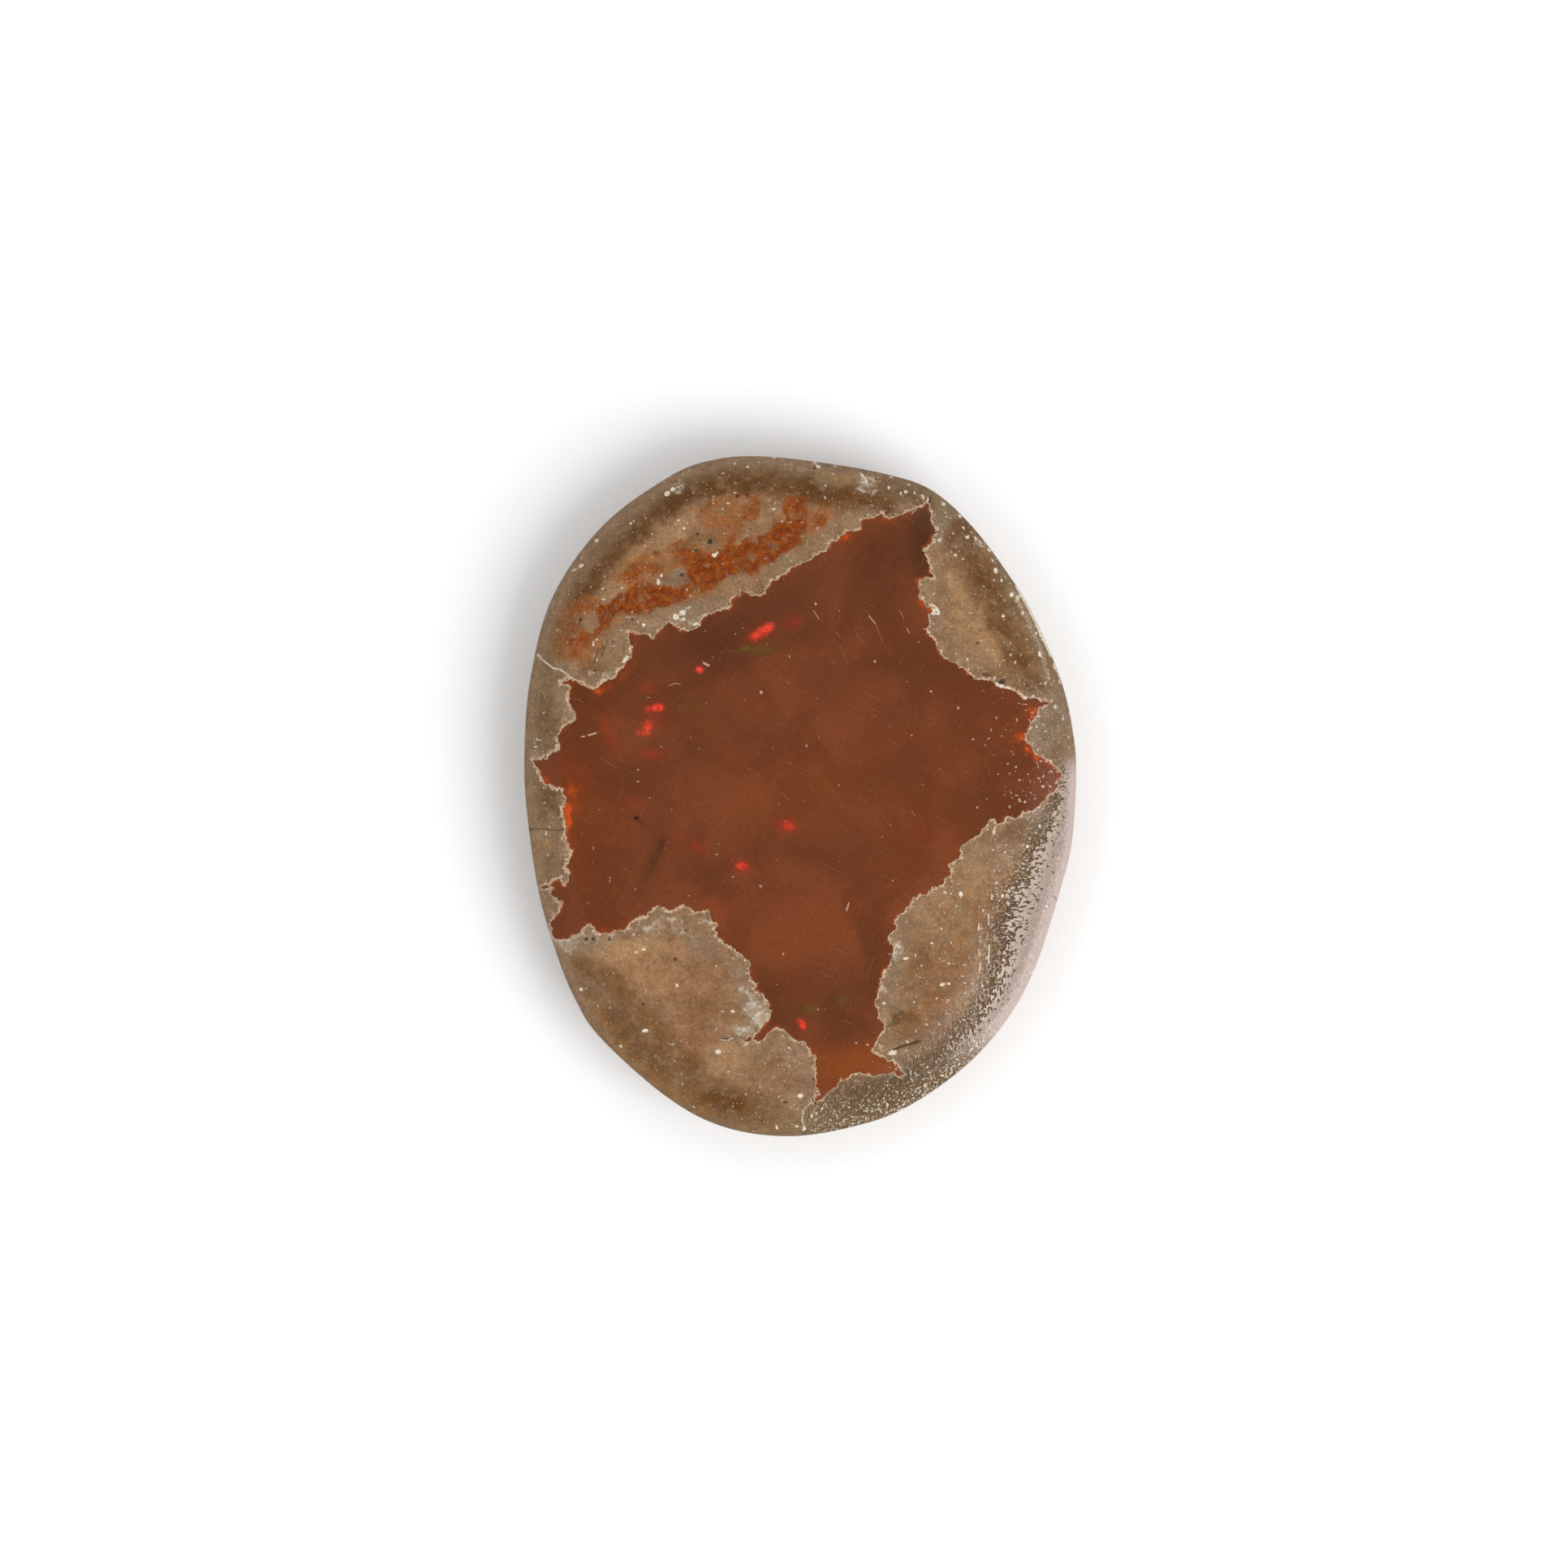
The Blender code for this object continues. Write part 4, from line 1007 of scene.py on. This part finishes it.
# In what follows, n holds the material's nodes, p its patterns and g its ground shoulder
def patterns(n):
    """The masks of the mesh by name, and the places and noises that rock and opal share."""
    p = SimpleNamespace(**{name: n.add("ShaderNodeAttribute", output="Fac", attribute_name=name)
                           for name in masks})
    p.mm = n.vector("SCALE", n.add("ShaderNodeTexCoord", output="Object"), 1000.0)
    warp = n.noise(p.mm, 2.6, output="Color")
    wobble = n.vector("SCALE", n.vector("SUBTRACT", warp, (0.5, 0.5, 0.5)), 0.35)
    p.bent = n.vector("ADD", p.mm, wobble)
    p.easting, p.northing = (n.add("ShaderNodeSeparateXYZ", {0: p.mm}, k) for k in (0, 1))
    p.patch = n.noise(p.mm, 1.5, 4.0, 0.6)
    p.fine = n.noise(p.mm, 5.0, 3.0, 0.65)
    p.grit = n.noise(p.mm, 10.0, 2.0, 0.6)
    p.cloud = n.noise(p.mm, 0.5, 3.0, 0.55)
    p.shift = n.plus(p.contact, n.plus(n.swing(p.fine, 0.36), n.swing(p.patch, 0.3)))
    p.is_opal = n.ramp(p.shift, -0.012, 0.012)
    p.is_rock = n.minus(1.0, p.is_opal)
    # The outer band along the rim, west of the middle: rougher, and lighter in colour, partly a painted
    # sheen
    outer = n.times(n.ramp(p.easting, 5.0, 1.0), n.ramp(p.northing, -17.0, -12.0))
    p.outer = n.times(n.ramp(p.rim_gap, 1.0, 0.4), outer)
    return p


def ground_shoulder(n, p):
    """Where the grinding shows: a level surface that takes a painted glare, with pits in painted shade
    that join up inward until only bumps stand, and farther round to the bottom only small flecks of
    painted glint, closer together towards the rim."""
    g = SimpleNamespace()
    across = n.noise(n.vector("MULTIPLY", p.bent, (3.2, 6.6, 4.0)), 1.0, 1.5)
    upright = n.noise(n.vector("MULTIPLY", p.bent, (6.4, 3.4, 4.0)), 1.0, 1.5)
    worms = n.blend(n.ramp(p.northing, -11.0, -7.5), upright, across)
    level = n.plus(n.slope(p.ground_gap, 0.6, 3.4, 0.27, 0.64), n.swing(p.cloud, 0.2))
    above = n.minus(worms, level)
    g.plateau = n.ramp(above, -0.05, 0.03)
    g.bowls = n.slope(above, -0.2, 0.0)
    g.ground = n.times(p.grind, n.ramp(p.ground_gap, 5.6, 3.4), p.is_rock)
    g.south = n.ramp(p.northing, -13.5, -17.0)
    g.worn = n.ramp(p.grind, 0.55, 0.85)
    g.strong = n.times(g.worn, n.minus(1.0, g.south))
    # Farther round to the bottom, flecks of painted glint where bumps catch the light
    upended = n.noise(n.vector("MULTIPLY", p.bent, (9.5, 5.5, 4.0)), 1.0, 1.5)
    sparser = n.ramp(p.ground_gap, 0.0, 6.4, 0.57, 0.74)
    flecks = n.ramp(n.minus(upended, sparser), -0.03, 0.05)
    g.flecks = n.times(flecks, g.worn, n.ramp(p.northing, -12.0, -15.5))
    # The pits are painted darker where their walls miss the glare: painted shade
    pit_dirt = n.times(n.minus(1.0, g.plateau), n.ramp(above, -0.24, -0.08), g.strong)
    g.pit_dirt = n.times(pit_dirt, n.ramp(p.ground_gap, 5.0, 3.0))
    return g


def clouded_rock(n, p):
    """The rock's colour: clouds, stains, a darker shoulder, chalky patches, the rind along the contact,
    and a painted sheen and glare in places.
    """
    patchy = n.ramp(n.noise(p.bent, 0.9, 3.0, 0.6), 0.3, 0.62, 0.7, 1.0)
    speckle = n.noise(p.bent, 3.0, 5.0, 0.62)
    tint = n.ramp(n.ragged(p.tint, speckle, 1.4), 0.12, 0.75)
    stain = n.ramp(n.ragged(p.rust, speckle, 1.8), 0.1, 0.75)
    rust = n.mix(n.ramp(speckle, 0.40, 0.64), rock_colour(123, 55, 14), rock_colour(144, 76, 32))
    greyer = n.noise(p.bent, 1.1, 4.0, 0.65)
    rock = n.layers(
        n.mix(n.ramp(p.cloud, 0.35, 0.68), rock_colour(134, 100, 71), rock_colour(152, 118, 88)),
        (n.times(n.ramp(p.contact, -1.7, -0.5), 0.7), rock_colour(145, 117, 90)),
        (n.times(p.warm, 0.7), rock_colour(146, 98, 62)),
        (n.times(p.shoulder, 0.75), rock_colour(126, 102, 74)),
        (n.times(p.gold, 0.9), rock_colour(147, 107, 66)),
        (n.times(p.tan, 0.9), rock_colour(176, 138, 99)),
        # ash grey clouds, and a painted sheen along the right shoulder
        (n.times(p.ash, 0.8), rock_colour(138, 121, 104)),
        (n.times(p.olive, patchy, 0.95), rock_colour(98, 61, 28)),
        # a lighter outer band, partly a painted sheen
        (n.times(p.outer, 0.7), rock_colour(153, 122, 91)),
        (n.times(tint, 0.88), rock_colour(152, 96, 56)),
        (n.times(stain, 0.95), rust),
        (n.ramp(greyer, 0.52, 0.70, 0.0, 0.55), rock_colour(142, 120, 94)),
        (n.ramp(greyer, 0.46, 0.32, 0.0, 0.35), rock_colour(132, 94, 62)),
    )
    rock = n.shaded(
        rock,
        (p.patch, 0.3, 0.7, 0.84, 1.11),
        (p.fine, 0.25, 0.75, 0.84, 1.15),
        (p.grit, 0.25, 0.75, 0.88, 1.12),
    )
    # Chalky patches, and a painted glare beside the opal's right tip
    chalky = n.noise(p.bent, 2.6, 5.0, 0.7)
    chalk = n.ramp(n.ragged(p.chalk, chalky, 2.4), 0.25, 1.1)
    chalk_colour = n.mix(n.ramp(chalky, 0.45, 0.68), linear(164, 144, 120), linear(214, 204, 188))
    width = n.ramp(n.noise(p.mm, 3.0, 3.0, 0.6), 0.35, 0.65, -0.03, -0.15)
    width = n.plus(width, n.ramp(p.easting, -9.0, -13.0, 0.0, -0.06))
    rind = n.ramp(n.minus(p.shift, width), -0.05, 0.05)
    rind = n.times(rind, n.ramp(n.noise(p.mm, 1.3, 2.0), 0.32, 0.55, 0.4, 1.0))
    rind_colour = n.mix(n.ramp(p.fine, 0.35, 0.65), linear(188, 154, 126), linear(222, 196, 166))
    return n.layers(
        rock,
        (n.times(n.dots(p.bent, 1.5, 0.12, 0.22), 0.45), rock_colour(88, 64, 42)),
        (n.times(chalk, 0.8), chalk_colour),
        (n.times(rind, 0.8), rind_colour),
    )


def marked_rock(n, p, g):
    """The rock with the ground shoulder's painted glare, crumbs, pits and cracks, painted glints, a
    painted highlight along the rim, and the specks by themselves.
    """
    # The level parts of the ground shoulder take a painted glare, the reflection of the lamps
    painted_glare_colour = n.mix(n.ramp(p.ground_gap, 1.2, 2.8), linear(146, 125, 118), linear(192, 174, 160))
    plateau = n.times(g.plateau, n.ramp(p.ground_gap, 6.0, 3.0), g.strong)
    # A painted glare in an uneven strip along the rim of the ground shoulder
    strip = n.ramp(n.plus(p.rim_gap, n.swing(p.fine, 1.2)), 0.9, 0.25)
    # Pale specks: tiny crystals and pits with a painted glint, crowding near the contact and the rim
    few = n.plus(n.times(p.grind, 0.5), 0.14)
    crowded = n.math("MAXIMUM", n.ramp(p.rim_gap, 1.8, 0.4), p.ash)
    crowded = n.times(n.ramp(p.easting, 6.0, 11.0), crowded, 0.3)
    close_by = n.plus(n.ramp(p.contact, -1.6, -0.5, 0.0, 0.12), crowded)
    chance = n.plus(close_by, n.times(few, n.ramp(p.rim_gap, 6.5, 1.5, 0.2, 1.0)))
    specks = n.dots(p.bent, 2.8, 0.20, chance)
    chance = n.plus(close_by, n.times(few, n.ramp(p.rim_gap, 6.5, 2.0, 0.3, 0.7)))
    small = n.dots(p.bent, 5.2, 0.28, chance)
    # A thin painted highlight along the whole rim
    edge = n.times(n.ramp(p.rim_gap, 0.08, 0.01), n.ramp(p.fine, 0.35, 0.6, 0.1, 1.0))
    # Pale crumbs and lines, with painted glints and a painted highlight along the right rim among them
    pale_colour = n.mix(n.ramp(p.grit, 0.32, 0.6), linear(190, 172, 146), linear(236, 227, 210))
    crumbly = n.noise(p.mm, 7.0, 3.0, 0.6)
    pale = n.ramp(n.ragged(p.pale, crumbly, 0.8, 0.02), 0.3, 0.85)
    dark = n.ramp(n.ragged(p.dark, crumbly, 0.8, 0.02), 0.3, 0.9)
    rock = n.layers(
        clouded_rock(n, p),
        # painted shade in the pits of the ground shoulder
        (n.times(g.pit_dirt, 0.7), rock_colour(64, 48, 35)),
        # painted glare on the level parts and in the strip, and a painted highlight at the rim's edge
        (n.times(plateau, 0.6), painted_glare_colour),
        (n.times(strip, g.strong, 0.8), linear(195, 177, 172)),
        (n.times(n.ramp(p.rim_gap, 0.16, 0.06), g.strong, 0.6), linear(208, 182, 166)),
        (n.times(g.worn, g.south, n.ramp(p.rim_gap, 4.0, 2.0), 0.75), rock_colour(92, 73, 52)),
        # painted glints: the flecks, and the pale specks with their painted glint
        (n.times(g.flecks, 0.85), linear(214, 203, 186)),
        (n.times(small, 0.5), linear(200, 184, 158)),
        (n.times(specks, 0.7), linear(214, 200, 176)),
        # painted highlight along the rim
        (n.times(edge, 0.6), linear(200, 172, 143)),
        # pale crumbs and lines, with painted glints and highlights
        (n.times(pale, 0.95), pale_colour),
        (n.times(dark, 0.8), linear(54, 37, 22)),
    )
    return rock, specks


def hair_lines(n, p, turn, low):
    """Faint long lines that run at this angle in degrees."""
    lay = n.add(
        "ShaderNodeMapping",
        {"Vector": p.mm, "Rotation": (0, 0, math.radians(turn)), "Scale": (0.1, 2.4, 1.0)},
        vector_type="TEXTURE",
    )
    return n.times(n.ramp(n.noise(lay, 1.0, 1.0), low, low + 0.06), 0.1)


def opal_colour(n, p):
    """The opal: its brown, the glow along the contact, the fire, dust and scratches."""
    haze = n.noise(p.mm, 0.22, 3.0, 0.5, 0.6)
    west = n.times(n.ramp(p.easting, -9.0, -13.5), n.plus(n.times(p.shoulder, 0.3), 0.2))
    opal = n.layers(
        n.mix(n.ramp(haze, 0.35, 0.65), linear(102, 55, 33), linear(119, 64, 38)),
        (n.math("MAXIMUM", p.tone, 0.0), linear(138, 71, 30)),
        (n.math("MAXIMUM", n.times(p.tone, -1.0), 0.0), linear(80, 48, 30)),
        (west, linear(124, 54, 10)),
    )
    opal = n.shaded(opal, (p.fine, 0.25, 0.75, 0.92, 1.08), (p.grit, 0.25, 0.75, 0.94, 1.06))
    glow = n.math("MINIMUM", n.times(p.glow, n.ramp(p.patch, 0.3, 0.7, 0.3, 0.9)), 1.0)
    hot = n.mix(n.ramp(glow, 0.35, 0.9), linear(146, 62, 26), linear(190, 76, 28))
    rim_glow = n.times(n.ramp(p.shift, 0.16, 0.02), n.ramp(n.noise(p.mm, 0.9, 2.0), 0.45, 0.62))
    shade = n.times(n.ramp(p.shift, 0.1, 0.03), n.ramp(n.noise(p.mm, 1.1, 2.0), 0.55, 0.42))
    flame = n.ramp(n.noise(p.mm, 3.2, 2.0), 0.3, 0.6, 0.7, 1.0)
    flame_colour = n.mix(n.ramp(p.fine, 0.35, 0.65), linear(196, 48, 40), linear(232, 74, 54))
    grains = n.dots(p.bent, 3.0, 0.2, n.ramp(p.easting, 7.5, 14.0, 0.03, 0.08))
    salt = n.minus(n.noise(p.bent, 5.0, 1.0), n.ramp(p.easting, 8.0, 16.0, 0.84, 0.64))
    dust = n.times(n.ramp(p.dust, 0.4, 0.8), n.ramp(p.fine, 0.3, 0.6, 0.5, 0.8))
    return n.layers(
        opal,
        (n.ramp(glow, 0.0, 1.0), hot),
        (n.times(rim_glow, 0.5), linear(178, 84, 44)),
        (n.times(shade, 0.4), linear(70, 36, 22)),
        (n.times(p.green, 0.65), linear(92, 98, 30)),
        (p.ember, linear(190, 40, 34)),
        (n.math("MINIMUM", n.times(p.fire, flame), 1.0), flame_colour),
        (p.opal_dark, linear(46, 30, 24)),
        (n.times(n.dots(p.bent, 1.4, 0.07, 0.5), 0.4), linear(180, 132, 110)),
        (n.times(grains, n.ramp(p.fine, 0.35, 0.6, 0.3, 0.75)), linear(204, 172, 156)),
        (n.ramp(salt, -0.02, 0.05, 0.0, 0.6), linear(212, 184, 170)),
        (hair_lines(n, p, 64, 0.71), linear(190, 140, 120)),
        (hair_lines(n, p, -34, 0.74), linear(190, 140, 120)),
        (dust, linear(206, 178, 162)),
        (n.times(n.ramp(p.scratch, 0.2, 0.7), 0.75), linear(206, 164, 148)),
    )


def stone_material():
    """The whole stone's material: its colour, how rough the polish is, and the finest relief."""
    material = bpy.data.materials.new("brown_opal_in_rock")
    n = Nodes(material)
    p = patterns(n)
    g = ground_shoulder(n, p)
    rock, specks = marked_rock(n, p, g)
    rough = n.ramp(n.math("MAXIMUM", p.shoulder, g.ground), 0.0, 0.8, 0.24, 0.13)
    rough = n.blend(n.times(p.outer, 0.8), rough, 0.45)
    rough = n.blend(p.is_opal, rough, n.ramp(p.shoulder, 0.0, 0.8, 0.15, 0.19))
    # Fine grain in the rock, an orange peel and bowls on the shoulder, and the specks stand up
    height = n.swing(p.fine, 0.16)
    height = n.plus(height, n.swing(n.noise(p.mm, 1.6, 2.0, 0.5, 0.5), p.shoulder, 0.5))
    height = n.plus(height, n.times(g.bowls, g.ground, g.worn, 0.75))
    height = n.plus(height, n.times(specks, 0.25))
    height = n.times(height, p.is_rock)
    shader = n.tree.nodes["Principled BSDF"].inputs
    n.join(shader["Base Color"], n.mix(p.is_opal, rock, opal_colour(n, p)))
    n.join(shader["Roughness"], rough)
    n.join(shader["Normal"], n.add("ShaderNodeBump", {"Height": height, "Distance": GRAIN_HEIGHT}))
    return material


def placed(name, data):
    """A new object in the scene."""
    item = bpy.data.objects.new(name, data)
    bpy.context.scene.collection.objects.link(item)
    return item


mesh.materials.append(stone_material())
stone = placed("opal_stone_looks", mesh)
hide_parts("opal_stone")
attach(stone, "root")

# The floor, lights and camera
paper = bpy.data.materials.new("floor_paper")
paint = Nodes(paper).tree.nodes["Principled BSDF"].inputs
paint["Base Color"].default_value = (1.0, 1.0, 1.0, 1)
paint["Roughness"].default_value = 0.9
floor_mesh = bpy.data.meshes.new("floor")
floor_mesh.from_pydata([(-1, -1, 0), (1, -1, 0), (1, 1, 0), (-1, 1, 0)], [], [(0, 1, 2, 3)])
floor_mesh.materials.append(paper)
floor = placed("floor", floor_mesh)
floor.visible_glossy = False


def softbox(name, heading, height, across, upright, power, shines=False):
    """An area light that faces the stone. heading and height are in degrees, sizes in metres.

    One that shines is seen only in the polish, and any other lights the stone but isn't reflected.
    """
    light = bpy.data.lights.new(name, "AREA")
    light.shape = "RECTANGLE"
    light.size, light.size_y = across, upright
    light.energy = power
    lamp = placed(name, light)
    a, b = math.radians(heading), math.radians(height)
    at = Vector((math.cos(a) * math.cos(b), math.sin(a) * math.cos(b), math.sin(b))) * LIGHT_DISTANCE
    lamp.location = at
    lamp.rotation_euler = at.to_track_quat("Z", "Y").to_euler()
    lamp.visible_camera = False
    lamp.visible_diffuse = not shines
    lamp.visible_glossy = shines


softbox("key_softbox", heading=-36, height=46, across=0.34, upright=0.46, power=1.9)
softbox("low_shine", heading=-28, height=16, across=0.44, upright=0.34, power=1.2, shines=True)
softbox("high_shine", heading=-30, height=40, across=0.22, upright=0.28, power=0.75, shines=True)

# A white sky that darkens overhead, and is dimmer in reflections
world = bpy.data.worlds.new("studio")
bpy.context.scene.world = world
sky = Nodes(world)
up = sky.add("ShaderNodeSeparateXYZ", {0: sky.add("ShaderNodeTexCoord", output="Generated")}, 2)
reflected = sky.add("ShaderNodeLightPath", output="Is Glossy Ray")
strength = sky.times(sky.ramp(up, 0.86, 0.97, 0.97, 0.03), sky.slope(reflected, 0.0, 1.0, 1.0, 0.15))
background = sky.tree.nodes["Background"].inputs
sky.join(background["Strength"], strength)
sky.join(background["Color"], (1, 1, 1))

camera_data = bpy.data.cameras.new("camera")
camera_data.lens = LENS
camera_data.sensor_width = SENSOR
camera_data.clip_start = 0.01
camera = placed("camera", camera_data)
camera.location = (*CAMERA_AT, RIM_HEIGHT + CAMERA_DISTANCE)
bpy.context.scene.camera = camera
bpy.context.scene.view_settings.view_transform = "Standard"

print("faces", len(mesh.polygons), "points", len(mesh.vertices))
